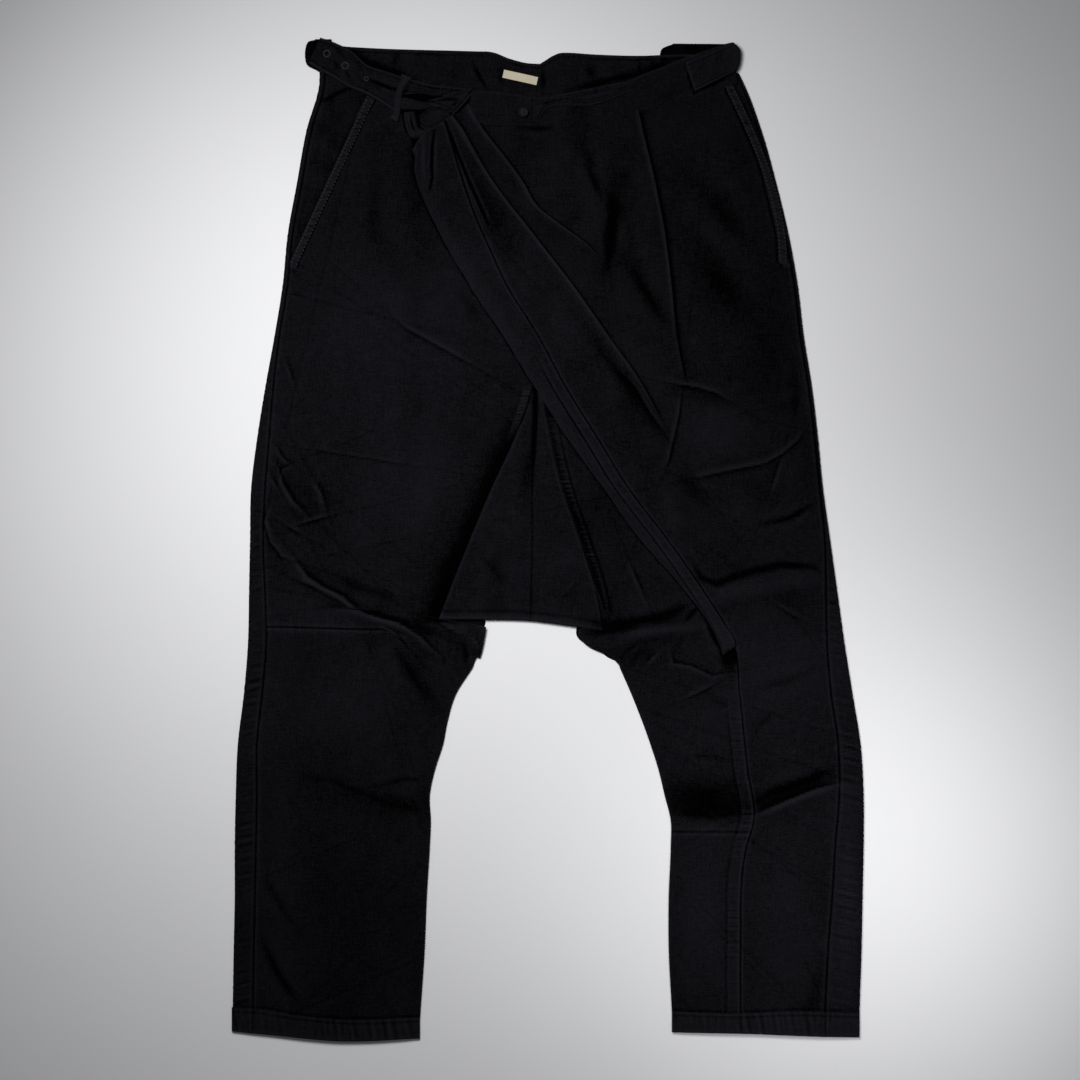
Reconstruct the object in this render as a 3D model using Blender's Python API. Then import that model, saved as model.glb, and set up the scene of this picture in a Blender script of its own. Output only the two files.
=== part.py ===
"""Wrap-front gurkha trousers with a dropped crotch, laid flat with the front upwards.

The waist points to +Y, the hems to -Y and the front faces +Z. The wearer's right leg lies on
the -X side. The origin is at the middle of the garment, on the surface that it lies on.
Charts and helpers work in millimetres; meshes are written in metres.
"""
import math

import bmesh
import bpy

# ---------------------------------------------------------------- driving sizes, in millimetres
METRES = 0.001
CLOTH = 1.2            # one layer of the heavy cotton
GAP = 0.3              # clearance between neighbouring pieces
EDGE_RADIUS = 1.6      # outer radius where the cloth folds round a side
EDGE_TOP = 2 * EDGE_RADIUS
PUFF = 1.5             # how much the front lifts off the back away from the folded sides
PUFF_REACH = 35.0
ROOM = 3.6             # most air left between the front and the back
TURN_UNDER = 12.0      # cloth carried round an inner leg and under it
BAND = 2.0             # thickness of a waistband
FELL = 0.9             # thickness of a felled seam's ridge
FELL_WIDTH = 15.0
STRAP_LOW = 4.1        # underside of the right waistband strap
HEM_WALL = 2.0         # turned hem, two layers
EYELET_RADIUS = 3.8
BUTTON_RADIUS = 4.7
POCKET_FOOT = 270.0    # Y of the lower end of both pocket openings
WRAP_TOP = 409.0       # Y of the wrap seam's upper end


class Chart:
    """A measuring chart: one row for each station, with named columns read smoothly between rows."""

    def __init__(self, names, *rows):
        self.names = names.split()
        self.rows = sorted(rows)

    def __call__(self, name, station):
        column = self.names.index(name)
        rows = self.rows
        last = len(rows) - 2
        index = max(0, min(last, sum(row[0] <= station for row in rows) - 1))
        low, high = rows[index], rows[index + 1]
        before, after = rows[max(0, index - 1)], rows[min(last + 1, index + 2)]
        span = high[0] - low[0]
        t = (station - low[0]) / span
        slope_low = (high[column] - before[column]) / (high[0] - before[0]) * span
        slope_high = (after[column] - low[column]) / (after[0] - low[0]) * span
        if not 0 <= t <= 1:
            end, slope = (low, slope_low) if t < 0 else (high, slope_high)
            return end[column] + slope * (t if t < 0 else t - 1)
        square, cube = t * t, t * t * t
        return ((2 * cube - 3 * square + 1) * low[column] + (cube - 2 * square + t) * slope_low
                + (3 * square - 2 * cube) * high[column] + (cube - square) * slope_high)


# ---------------------------------------------------------------- charts: X at each Y
OUTLINE = Chart(
    "y right_edge right_outseam left_outseam left_edge",
    (450, -224, -219, 187, 190),
    (400, -237, -232, 206, 209),
    (350, -246, -241, 220, 223),
    (300, -255, -250, 232, 235),
    (250, -260, -255, 241, 244),
    (200, -268, -263, 247, 250),
    (150, -277, -269, 255, 258),
    (100, -285, -273, 261, 264),
    (50, -291, -277, 266, 269),
    (0, -292, -279, 271, 276),
    (-50, -293, -277, 272, 283),
    (-100, -294, -276, 273, 290),
    (-150, -298, -280, 277, 298),
    (-200, -304, -285, 284, 306),
    (-250, -306, -285, 285, 309),
    (-300, -307, -286, 281, 309),
    (-350, -307, -287, 278, 308),
    (-400, -308, -288, 274, 307),
    (-460, -309, -289, 271, 305),
)

LEGS = Chart(
    "y right_inner left_inner",
    (-125, -74, 70),
    (-150, -90, 81),
    (-175, -98, 91),
    (-200, -103, 100),
    (-225, -111, 108),
    (-250, -116, 114),
    (-275, -115, 120),
    (-300, -116, 120),
    (-350, -119, 118),
    (-400, -121, 118),
    (-460, -125, 121),
)

# The wrap front: the free fold, the seam beside it, two knife pleats and the pressed line.
WRAP = Chart(
    "y fold seam pleat_one pleat_two press",
    (400, -132, -98, -84, -63, 93),
    (350, -127, -83, -54, -25, 105),
    (300, -105, -64, -16, 25, 115),
    (250, -76, -41, 23, 62, 121),
    (200, -43, -10, 58, 96, 126),
    (150, -12, 17, 93, 115, 136),
    (100, 20, 48, 119, 134, 150),
    (50, 56, 79, 135, 153, 171),
    (0, 92, 117, 152, 173, 195),
    (-50, 136, 152, 176, 195, 215),
    (-100, 168, 181, 200, 214, 232),
    (-150, 175, 187, 205, 220, 237),
    (-225, 183, 195, 212, 227, 243),
    (-275, 189, 201, 216, 230, 245),
    (-300, 182, 194, 212, 227, 243),
    (-400, 176, 188, 207, 223, 240),
    (-460, 176, 188, 205, 220, 238),
)

GUSSET = Chart(
    "y left_edge valley right_edge",
    (152, -15, -12, -11),
    (140, -18, -11.5, -7),
    (100, -32, -12.5, 1),
    (50, -55, -15.5, 13),
    (0, -76, -15.5, 30),
    (-50, -96, -16.5, 46),
    (-90, -111, -17, 53),
)

# Heights at which neighbouring pieces share a station, so that their seams run the same way.
SEAM_STATIONS = (450, 400, 350, 300, 250, 200, 150, 100, 50, 0, -50, -100, -125, -150, -175, -200,
                 -230, -260, -300, -340, -380, -420, -460)
WRAP_STATIONS = (392, 370, 340, 310, 278, 240, 200, 160, 120, 80, 40, 0, -40, -62, -76, -88, -104,
                 -125, -150, -175, -200, -230, -260, -300, -340, -380, -420, -460)
GUSSET_STATIONS = (152, 120, 80, 40, 0, -35, -66.5)

# ---------------------------------------------------------------- charts: Y at each X
BACK_TOP = Chart(
    "x top",
    (-218, 486), (-190, 482), (-150, 480), (-76, 478), (-55, 477), (-39, 471), (-22, 466.5), (-8, 465.5),
)
BACK_TOP_LEFT = Chart(
    "x top",
    (-7.7, 465.5), (-3, 468.5), (6, 474), (17, 476.5), (51, 474.5), (90, 473.5), (140, 475), (182, 471),
)
STRAP = Chart(
    "x top low",
    (-223, 490.5, 462.5), (-198, 480, 446.5), (-177, 464.5, 435.5), (-160, 458, 434),
    (-143, 452.3, 433), (-134, 450.5, 431.5), (-117, 447, 428.5), (-90, 442.5, 436), (-75, 440.2, 439),
)
FRONT_WAIST = Chart(
    "x edge",
    (-103, 409), (-88, 417), (-72, 431), (-45, 434), (-12, 429), (20, 433), (62, 441), (90, 446),
    (120, 449), (150, 451), (187, 452),
)
GUSSET_FOOT = Chart("x y", (-107, -77.5), (-60, -77.5), (-20, -78.5), (24, -84), (53, -88.5))

# Largest folds: a soft ridge (or a trough, where lift is negative) between two points.
FOLDS = (
    # name             x0    y0    x1    y1   lift  reach
    ("thigh roll",    -248,  -16, -188,  -63,  1.4,  16),
    ("thigh roll end", -188, -63, -105, -108,  1.5,  16),
    ("thigh crumple", -262,   70, -216,   30,  1.2,  14),
    ("shin fold",     -240, -228, -128, -264,  1.3,  16),
    ("hip drape",     -165,  330, -120,  190, -0.8,  28),
    ("seat drape",     -60,  180, -100,   30,  1.0,  26),
    ("crotch ridge",    66,  -96,  150,  -76,  1.3,  14),
    ("knee fold",      206, -268,  272, -226,  1.6,  16),
    ("thigh drag",     150,  -50,  262,  -34,  1.2,  18),
    ("hip drag",       140,   64,  236,   92,  1.0,  18),
)


def seam(chart, name, y, stations=SEAM_STATIONS):
    """A seam's X: read from its chart at the shared stations and straight between them."""
    index = max(1, min(len(stations) - 1, sum(station > y for station in stations)))
    high, low = stations[index - 1], stations[index]
    share = (y - low) / (high - low)
    return chart(name, low) + (chart(name, high) - chart(name, low)) * share


def outline(name, y):
    """X of a side or an outseam."""
    return seam(OUTLINE, name, y)


def wrap_seam(y):
    """X of the wrap seam, which runs on down the left leg as its inseam."""
    return seam(WRAP, "seam", y, WRAP_STATIONS)


def gusset_edge(name, y):
    """X of the gusset's sides and centre valley."""
    return seam(GUSSET, name, y, GUSSET_STATIONS)


# ---------------------------------------------------------------- the lie of the cloth
def ease(value):
    """0 below zero, 1 above one, and a soft step between."""
    value = max(0.0, min(1.0, value))
    return value * value * (3 - 2 * value)


def side_distance(x, y):
    """How far a point lies in from the nearest folded side."""
    if x < 0:
        distance = x - outline("right_edge", y)
        inner = seam(LEGS, "right_inner", y) - x
    else:
        distance = outline("left_edge", y) - x
        inner = x - seam(LEGS, "left_inner", y)
    if y < -124:
        distance = min(distance, inner)
    return max(distance, EDGE_RADIUS)


def fold_lift(x, y):
    """The height that the largest folds add at a point."""
    total = 0.0
    for _, x0, y0, x1, y1, lift, reach in FOLDS:
        dx, dy = x1 - x0, y1 - y0
        along = max(0.0, min(1.0, ((x - x0) * dx + (y - y0) * dy) / (dx * dx + dy * dy)))
        away = math.hypot(x - x0 - along * dx, y - y0 - along * dy)
        total += lift * math.exp(-(away / reach) ** 2)
    return total


def front_top(x, y):
    """Upper face of the front layer."""
    inset = side_distance(x, y) - EDGE_RADIUS
    puff = PUFF * (1 - math.exp(-inset / PUFF_REACH))
    return EDGE_TOP + puff + fold_lift(x, y) * ease(inset / 20)


def pocket_line(side, y):
    """X of a pocket opening at a height."""
    if side == "right":
        return -176.5 + (y - 434.5) * 0.4655
    return 177 + 55.5 * math.sin((447 - y) / 175 * math.pi / 2)


def pocket_step(inset, y):
    """How much a front stands up over the pocket facing under its edge."""
    return (CLOTH + GAP) * math.exp(-max(0.0, inset - 14) / 25) * ease((y - POCKET_FOOT + 8) / 10)


def right_top(x, y):
    """Upper face of the right front, one layer higher along the pocket."""
    return front_top(x, y) + pocket_step(x - pocket_line("right", y), y)


def wrap_base(x, y):
    """Underside of the standing fold, clear of the fronts that it lies on."""
    return right_top(x, y) + GAP + 0.1


def wrap_top(x, y):
    """Upper face of the left front: lifted along its seam and stepped down at each knife pleat."""
    from_seam = max(0.0, x - wrap_seam(y))
    high = ease((y + 150) / 120)
    lift = (0.4 + 1.5 * high) * math.exp(-from_seam / 30)
    for pleat, height, start, end in (("pleat_one", 2.1, 60, 170), ("pleat_two", 1.6, 260, 330)):
        strength = ease((y - start) / (end - start))
        before = WRAP(pleat, y) - x
        if before >= 0:
            lift += height * strength * math.exp(-before / 14)
    press = abs(x - WRAP("press", y))
    lift += 0.9 * ease((y - 60) / 60) * math.exp(-(press / 6) ** 2)
    inset = side_distance(x, y) - EDGE_RADIUS
    pocket = pocket_step(pocket_line("left", y) - x, y)
    return min(front_top(x, y) + lift * ease(inset / 20) + pocket, 7.6)


def wall(top):
    """Cloth thickness under a face: one layer, or the folded layers where it stands high."""
    return max(CLOTH, top - CLOTH - ROOM)


# ---------------------------------------------------------------- solids from rows of stations
FINISHES = {  # linear colour, roughness, metallic
    "cotton": ((0.009, 0.009, 0.011), 0.92, 0.0),
    "label": ((0.62, 0.57, 0.5), 0.9, 0.0),
    "eyelet": ((0.2, 0.14, 0.12), 0.5, 0.9),
    "button": ((0.14, 0.1, 0.09), 0.55, 0.9),
}


def material(name, colour, roughness, metallic):
    """A plain Principled material."""
    made = bpy.data.materials.new(name)
    made.use_nodes = True
    shader = made.node_tree.nodes["Principled BSDF"]
    shader.inputs["Base Color"].default_value = (*colour, 1)
    shader.inputs["Roughness"].default_value = roughness
    shader.inputs["Metallic"].default_value = metallic
    return made


def finish(name, bm, finish_name):
    """Turn a bmesh in millimetres into a named object with its material."""
    bmesh.ops.recalc_face_normals(bm, faces=bm.faces)
    bmesh.ops.scale(bm, vec=(METRES, METRES, METRES), verts=bm.verts)
    mesh = bpy.data.meshes.new(name)
    bm.to_mesh(mesh)
    bm.free()
    mesh.materials.append(material(name, *FINISHES[finish_name]))
    item = bpy.data.objects.new(name, mesh)
    bpy.context.scene.collection.objects.link(item)
    return item


def slab(name, rows, finish_name="cotton", closed=False):
    """A cloth wall from rows of stations ((x, y, z), (nx, ny, nz), thickness)."""
    bm = bmesh.new()
    outer, inner = [], []
    for row in rows:
        outer.append([bm.verts.new(point) for point, _, _ in row])
        inner.append([bm.verts.new([p - n * thick for p, n in zip(point, normal)])
                      for point, normal, thick in row])
    count = len(rows[0])
    steps = count if closed else count - 1
    for i in range(len(rows) - 1):
        for j in range(steps):
            k = (j + 1) % count
            bm.faces.new((outer[i][j], outer[i + 1][j], outer[i + 1][k], outer[i][k]))
            bm.faces.new((inner[i][j], inner[i][k], inner[i + 1][k], inner[i + 1][j]))
    for j in range(steps):
        k = (j + 1) % count
        bm.faces.new((outer[0][j], outer[0][k], inner[0][k], inner[0][j]))
        bm.faces.new((outer[-1][j], inner[-1][j], inner[-1][k], outer[-1][k]))
    if not closed:
        for i in range(len(rows) - 1):
            bm.faces.new((outer[i][0], inner[i][0], inner[i + 1][0], outer[i + 1][0]))
            bm.faces.new((outer[i][-1], outer[i + 1][-1], inner[i + 1][-1], inner[i][-1]))
    return finish(name, bm, finish_name)


def one_layer(_):
    """The thickness of a single layer, whatever its height."""
    return CLOTH


def between(first, second, fraction):
    """A point part of the way from one to another."""
    return tuple(a + (b - a) * fraction for a, b in zip(first, second))


def flat_row(start, end, steps, top_at, thick_at=None):
    """Stations in a straight line over an upper face."""
    row = []
    for step in range(steps + 1):
        x, y = between(start, end, step / steps)
        top = top_at(x, y)
        row.append(((x, y, top), (0, 0, 1), thick_at(top) if thick_at else wall(top)))
    return row


def folded_row(start, edge, outward, finish_at, top_at, steps, low=0.0, thick_at=None):
    """Stations over the top, round a folded edge and back underneath."""
    radius, thick = EDGE_RADIUS, CLOTH
    top_steps, arc_steps, low_steps = steps
    hinge = (edge[0] - outward[0] * radius, edge[1] - outward[1] * radius)
    crown = top_at(*hinge)
    middle, half = (crown + low) / 2, (crown - low) / 2
    row = flat_row(start, hinge, top_steps, top_at, thick_at)[:-1]
    for step in range(arc_steps + 1):
        angle = math.pi * (0.5 - step / arc_steps)
        out, up = math.cos(angle), math.sin(angle)
        point = (hinge[0] + outward[0] * radius * out, hinge[1] + outward[1] * radius * out,
                 middle + half * up)
        row.append((point, (outward[0] * out, outward[1] * out, up), thick))
    for step in range(1, low_steps + 1):
        x, y = between(hinge, finish_at, step / low_steps)
        row.append(((x, y, low), (0, 0, -1), thick))
    return row


def plate(name, rows, thick, finish_name="cotton"):
    """A slab of even thickness from rows of upper points."""
    return slab(name, [[(point, (0, 0, 1), thick) for point in row] for row in rows], finish_name)


def washer(name, centre, low, height, radius, hole, finish_name, sides=12):
    """A small turned ring, or a domed disc where there is no hole."""
    bm = bmesh.new()
    if hole:
        profile = ((hole, low), (hole, low + height), (radius - 0.4, low + height),
                   (radius, low + height * 0.5), (radius, low))
    else:
        profile = ((0, low), (0, low + height), (radius * 0.55, low + height * 0.9),
                   (radius, low + height * 0.45), (radius, low))
    loops = []
    for along, z in profile:
        if along == 0:
            loops.append([bm.verts.new((centre[0], centre[1], z))] * sides)
            continue
        loops.append([bm.verts.new((centre[0] + along * math.cos(2 * math.pi * k / sides),
                                    centre[1] + along * math.sin(2 * math.pi * k / sides), z))
                      for k in range(sides)])
    pairs = list(zip(loops, loops[1:])) + ([(loops[-1], loops[0])])
    for one, two in pairs:
        for k in range(sides):
            n = (k + 1) % sides
            corners = [one[k], one[n], two[n], two[k]]
            corners = [v for i, v in enumerate(corners) if v not in corners[:i]]
            if len(corners) > 2:
                bm.faces.new(corners)
    item = finish(name, bm, finish_name)
    item.data.shade_smooth()
    item.data.set_sharp_from_angle(angle=math.radians(40))
    return item


# ---------------------------------------------------------------- back
BODY_STATIONS = (444, 400, 350, 300, 250, 200, 150, 100, 50, 0)
LEG_STATIONS = (-150, -175, -200, -230, -260, -300, -340, -380, -420, -460)
HEM_TOP = -460

# Side station, and the end of the row at the centre-back seam, crotch or inner leg.
BACK_RIGHT_CROTCH = (
    (-30, -8.2, -36), (-46, -8.2, -65), (-58, -32, -65), (-68, -57.5, -65), (-80, -60.5, -79),
    (-96, -65.5, -98), (-110, -69, -113), (-118, -84, -116),
)
BACK_LEFT_CROTCH = (
    (-30, -7.8, -36), (-46, -7.8, -65), (-58, 10, -65), (-70, 26.5, -66), (-84, 29, -89),
    (-92, 31, -97), (-99, 37, -104), (-106, 57, -111.5), (-113, 69, -121), (-120, 82.5, -124.5),
)


def side_normal(column, y):
    """Outward direction of a folded side in plan."""
    slope = (outline(column, y + 4) - outline(column, y - 4)) / 8
    sign = -1 if column == "right_edge" else 1
    length = math.hypot(1, slope)
    return sign / length, -sign * slope / length


def band_foot(x):
    """Y of the back waistband's lower seam, which dips to the centre back."""
    return 424 + 20 * min(1.0, abs(x + 8) / 207)


def back_panel(name, edge, outseam, crotch, centre, inner_column, inner_shift):
    """A back panel on the floor, folded round the side and up to the outseam on the front."""
    ends = [(y, centre, y) for y in BODY_STATIONS] + list(crotch)
    ends += [(y, seam(LEGS, inner_column, y) + inner_shift, y) for y in LEG_STATIONS]
    rows = []
    for y, x_end, y_end in ends:
        start = (outline(outseam, y), y)
        side = (outline(edge, y), y)
        row = folded_row(start, side, side_normal(edge, y), (x_end, y_end), front_top, (1, 4, 4))
        if y == BODY_STATIONS[0]:
            row = [((p[0], band_foot(p[0]) - GAP if n[2] == -1 else p[1], p[2]), n, t) for p, n, t in row]
        rows.append(row)
    slab(name, rows)


def back_waistband(name, chart, stations):
    """Half of the back waistband, on the floor with its inner face up."""
    rows = [[(x, chart("top", x), BAND) for x in stations],
            [(x, band_foot(x), BAND) for x in stations]]
    plate(name, rows, BAND)


def label():
    """The small woven label, blank, sewn inside the back waistband."""
    length, height, lean = 33.5, 7.4, math.radians(-12.5)
    along = (math.cos(lean), math.sin(lean))
    across = (-math.sin(lean), math.cos(lean))
    rows = []
    for v in (0.5, -0.5):
        rows.append([(-27.3 + along[0] * u * length + across[0] * v * height,
                      452.8 + along[1] * u * length + across[1] * v * height,
                      BAND + GAP + 1.0) for u in (-0.5, 0.5)])
    plate("label", rows, 1.0, "label")


# ---------------------------------------------------------------- fronts
def knee_row(start, end, steps, drop):
    """Points along the right knee seam, which runs level and then falls towards the crotch."""
    before, after = steps
    first, bend, last = (start, -85), (-163, -87.5), (end, -115)
    points = [between(first, bend, k / before) for k in range(before)]
    points += [between(bend, last, k / after) for k in range(after + 1)]
    return [(x, y - drop) for x, y in points]


def front_right_upper():
    """Right front from the waist to the knee seam, running a little way under the wrap."""
    steps = 9
    rows = [flat_row((-175.8, 434.5), (-143.6, 418.4), steps, right_top),
            flat_row((pocket_line("right", 400), 400), (-138.6, 400), steps, right_top)]
    for y in (392, 370, 350, 325, 300, 270, 250, 225, 200):
        on_pocket = y >= POCKET_FOOT
        start = outline("right_outseam", y) + GAP
        if on_pocket:
            start = max(start, pocket_line("right", y))
        under_wrap = 20 * ease((392 - y) / 40) * ease((y - 152) / 60)
        rows.append(flat_row((start, y), (WRAP("fold", y) + under_wrap, y), steps, right_top))
    ends = [(y_out, gusset_edge("left_edge", y) - GAP, y)
            for y_out, y in ((150, 152), (125, 120), (100, 80), (50, 40), (0, 0), (-30, -35))]
    ends += [(-50, -101.5, -60), (-62, -107.8, -78.6), (-70, -84, -79), (-75, -60.5, -79.5)]
    for y_out, x, y in ends:
        rows.append(flat_row((outline("right_outseam", y_out) + GAP, y_out), (x, y), steps, front_top))
    points = knee_row(outline("right_outseam", -85) + GAP, -66.5, (5, 4), -GAP)
    rows.append([((x, y, front_top(x, y)), (0, 0, 1), CLOTH) for x, y in points])
    slab("front_right_upper", rows)


def front_right_lower():
    """Right front below the knee seam, folded round the inner leg and a little way under."""
    rows = []
    slants = ((-85, -116), (-100, -128), (-125, -138)) + tuple((y, y) for y in LEG_STATIONS)
    for y_out, y in slants:
        inner = seam(LEGS, "right_inner", y)
        slope = (seam(LEGS, "right_inner", y + 4) - seam(LEGS, "right_inner", y - 4)) / 8
        length = math.hypot(1, slope)
        outward = (1 / length, -slope / length) if y_out < -85 else (1, 0)
        start = (outline("right_outseam", y_out) + GAP, y_out)
        under = (inner - TURN_UNDER, y)
        row = folded_row(start, (inner, y), outward, under, front_top, (7, 4, 2))
        if y_out == -85:
            points = knee_row(start[0], row[7][0][0], (4, 3), GAP)
            row[:8] = [((x, y_at, front_top(x, y_at)), (0, 0, 1), CLOTH) for x, y_at in points]
        rows.append(row)
    slab("front_right_lower", rows)


def front_left():
    """The wrap panel: from the waist to the left hem, with two knife pleats and a pressed line."""
    rows = []
    for index, y in enumerate((WRAP_TOP,) + WRAP_STATIONS):
        one, two, press = WRAP("pleat_one", y), WRAP("pleat_two", y), WRAP("press", y)
        side = outline("left_outseam", y) - GAP
        if index == 0:
            side = pocket_line("left", 447)
        elif y > POCKET_FOOT:
            side = pocket_line("left", y)
        xs = [wrap_seam(y) + GAP, one - 2.5, one + 1.5, two - 2.5, two + 1.5]
        xs += [(two + 1.5 + press - 5) / 2, press - 5, press, press + 5]
        xs += [press + 5 + (side - press - 5) * f for f in (0.5, 1.0)]
        row = []
        for x in xs:
            y_at = FRONT_WAIST("edge", x) if index == 0 else y
            top = wrap_top(x, y_at)
            row.append(((x, y_at, top), (0, 0, 1), wall(top)))
        rows.append(row)
    slab("front_left", rows)


def wrap_fold():
    """The double fold of cloth along the wrap seam, rounded at its free edge."""
    profile = ((0.0, 1.0), (1.6, 2.2), (5.0, 2.7))
    rows = []
    for y in WRAP_STATIONS[:WRAP_STATIONS.index(-104) + 1]:
        edge, end = WRAP("fold", y), wrap_seam(y) - GAP
        xs = [(edge + along, rise) for along, rise in profile]
        xs += [((edge + 5 + end) / 2, 2.3), (end, 2.0)]
        row = []
        for x, rise in xs:
            y_at = y
            if y == WRAP_STATIONS[0]:
                share = (x - edge) / (end - edge)
                x = edge + (wrap_seam(WRAP_TOP) - GAP - edge) * share
                y_at = y + (WRAP_TOP - y) * share
            low = wrap_base(x, y_at)
            row.append(((x, y_at, low + rise), (0, 0, 1), rise))
        rows.append(row)
    slab("wrap_fold", rows)


def crotch_panel_left():
    """The left leg's crotch panel, from the gusset seam to the wrap seam above it."""
    pairs = ((138, 144), (120, 120), (80, 80), (40, 40), (0, 0), (-35, -40))
    ends = [(gusset_edge("right_edge", y) + GAP, y, y_seam) for y, y_seam in pairs]
    ends += [(52.6, -76, -62), (53.8, -89, -76), (29, -89.5, -88), (37, -104, -104),
             (57, -111.5, -111), (69, -121, -118), (69.5, -124.6, -124.6)]
    rows = []
    for x, y, y_seam in ends:
        rows.append(flat_row((x, y), (wrap_seam(y_seam) - GAP, y_seam), 5, front_top))
    slab("crotch_panel_left", rows)


def inner_leg(name, stations):
    """An inner leg panel: from the inseam on the front, round the inner leg and under it."""
    rows = []
    for y in stations:
        inner = seam(LEGS, "left_inner", y)
        slope = (seam(LEGS, "left_inner", y + 4) - seam(LEGS, "left_inner", y - 4)) / 8
        length = math.hypot(1, slope)
        outward = (-1 / length, slope / length) if y < -126 else (-1, 0)
        start = (wrap_seam(y) - GAP, y)
        rows.append(folded_row(start, (inner, y), outward, (inner + TURN_UNDER, y), front_top, (4, 4, 2)))
    slab(name, rows)


# ---------------------------------------------------------------- gusset
def gusset_top(x, y):
    """The gusset lies deepest at its apex and in its centre valley, and lifts towards its foot."""
    down = (150 - y) / 217
    valley = 1.1 * math.exp(-abs(x - gusset_edge("valley", y)) / 9) * (1 - ease((down - 0.55) / 0.4))
    return 3.6 + 2.3 * ease(down) - valley


def gusset_half(name, left, right):
    """One half of the gusset, from its apex to the turned foot."""
    rows = []
    for y in (146,) + GUSSET_STATIONS[1:]:
        rows.append(flat_row((gusset_edge(left, y) + GAP / 2, y), (gusset_edge(right, y) - GAP / 2, y), 5,
                             gusset_top, one_layer))
    slab(name, rows)


def crotch_fold():
    """The turned foot of the gusset: over the edge, and under to the back where nothing lies below."""
    rows = []
    columns = ((-102.4, -3), (-80, 0), (-62, 0), (-57, 0), (-49, 0), (-20, 0), (0, 0), (17, 0), (25, 0),
               (36, 1), (48.6, 3))
    for x, splay in columns:
        edge = (x + splay, GUSSET_FOOT("y", x + splay))
        free = ease((x + 58) / 8) * ease((25.5 - x) / 8)
        rows.append(folded_row((x, -67), edge, (0, -1), (x + splay * 0.2, -67), lambda x, y: 5.9,
                               (1, 4, 1), low=3.1 * (1 - free), thick_at=one_layer))
    slab("crotch_fold", rows)


# ---------------------------------------------------------------- felled seams and pockets
def strip(name, stations, left_at, right_at, top_at, thick=FELL, lift=GAP + 0.15, steps=2):
    """A raised strip made from the points of the panel that it lies on, moved out."""
    rows = []
    for y in stations:
        rows.append(flat_row((left_at(y), y), (right_at(y), y), steps,
                             lambda x, y: top_at(x, y) + lift + thick, lambda top: thick))
    slab(name, rows)


def pocket_facing(name, side, stations):
    """The cloth behind a pocket opening, between the side seam and the front's edge."""
    rows = []
    for y in stations:
        if side == "right":
            start, end = outline("right_outseam", y) + GAP, pocket_line(side, y) + 9
        else:
            start, end = pocket_line(side, y) - 9, outline("left_outseam", y) - GAP
        rows.append([((x, y, EDGE_TOP), (0, 0, 1), CLOTH)
                     for x in (start + (end - start) * k / 3 for k in range(4))])
    slab(name, rows)


def fells_and_pockets():
    """The felled seams' ridges, the pocket facings and the stitched pocket edges."""
    leg = tuple(y for y in SEAM_STATIONS if y <= 250)
    strip("outseam_fell_right", leg, lambda y: outline("right_edge", y) + 3,
          lambda y: outline("right_outseam", y) - 0.5, front_top)
    strip("outseam_fell_left", tuple(y for y in leg if y <= -100),
          lambda y: outline("left_outseam", y) + 0.5,
          lambda y: min(outline("left_outseam", y) + 14, outline("left_edge", y) - 3), front_top)
    strip("inseam_fell_left", tuple(y for y in WRAP_STATIONS if y <= -150),
          lambda y: wrap_seam(y) - FELL_WIDTH, lambda y: wrap_seam(y) - 0.8, front_top)
    strip("gusset_fell_left", (106, 80, 60, 40, 0, -35), lambda y: gusset_edge("right_edge", y) + 0.8,
          lambda y: gusset_edge("right_edge", y) + 9, front_top)
    strip("wrap_seam_fell", tuple(y for y in WRAP_STATIONS if -104 < y < 380),
          lambda y: wrap_seam(y) - 12, lambda y: wrap_seam(y) - 0.8, lambda x, y: wrap_base(x, y) + 2.6)
    pocket_facing("pocket_facing_right", "right", (436, 400, 350, 300, 276))
    pocket_facing("pocket_facing_left", "left", (436, 400, 350, 300, 279))
    strip("pocket_edge_right", (430, 400, 370, 350, 325, 300, 273), lambda y: pocket_line("right", y) + 1,
          lambda y: pocket_line("right", y) + 10, right_top)
    strip("pocket_edge_left", (436, 400, 370, 345, 320, 290, 273), lambda y: pocket_line("left", y) - 10,
          lambda y: pocket_line("left", y) - 1, wrap_top)


# ---------------------------------------------------------------- hems
RIGHT_FOOT = Chart("x y", (-310, -481), (-266, -485), (-202, -490.5), (-125, -488))
LEFT_FOOT = Chart("x y", (121, -482), (188, -483), (266, -486), (304, -487))


def hem(name, outer_column, inner_column, sign, top_y, foot):
    """A turned hem: a flattened ring round the leg opening."""
    rows = []
    radius = HEM_WALL + 0.3
    for drop in (0, 1):
        section = []
        outer, inner = outline(outer_column, HEM_TOP), seam(LEGS, inner_column, HEM_TOP)
        outer, inner = outer + sign * drop, inner + sign * 0.5 * drop
        low_x, high_x = min(outer, inner), max(outer, inner)
        across = [low_x + radius + (high_x - low_x - 2 * radius) * k / 8 for k in range(9)]
        for x in across:
            section.append(((x, 2 * radius + 0.5 * math.sin(math.pi * (x - low_x) / (high_x - low_x))),
                            (0, 1)))
        for k in range(1, 4):
            angle = math.pi / 2 - math.pi * k / 4
            section.append(((high_x - radius + radius * math.cos(angle),
                             radius + radius * math.sin(angle)), (math.cos(angle), math.sin(angle))))
        for x in reversed(across):
            section.append(((x, 0), (0, -1)))
        for k in range(1, 4):
            angle = -math.pi / 2 - math.pi * k / 4
            section.append(((low_x + radius + radius * math.cos(angle),
                             radius + radius * math.sin(angle)), (math.cos(angle), math.sin(angle))))
        row = []
        for (x, z), (nx, nz) in section:
            y = top_y - GAP if drop == 0 else foot("y", x)
            row.append(((x, y, z), (nx, 0, nz), HEM_WALL))
        rows.append(row)
    slab(name, rows, closed=True)


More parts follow.
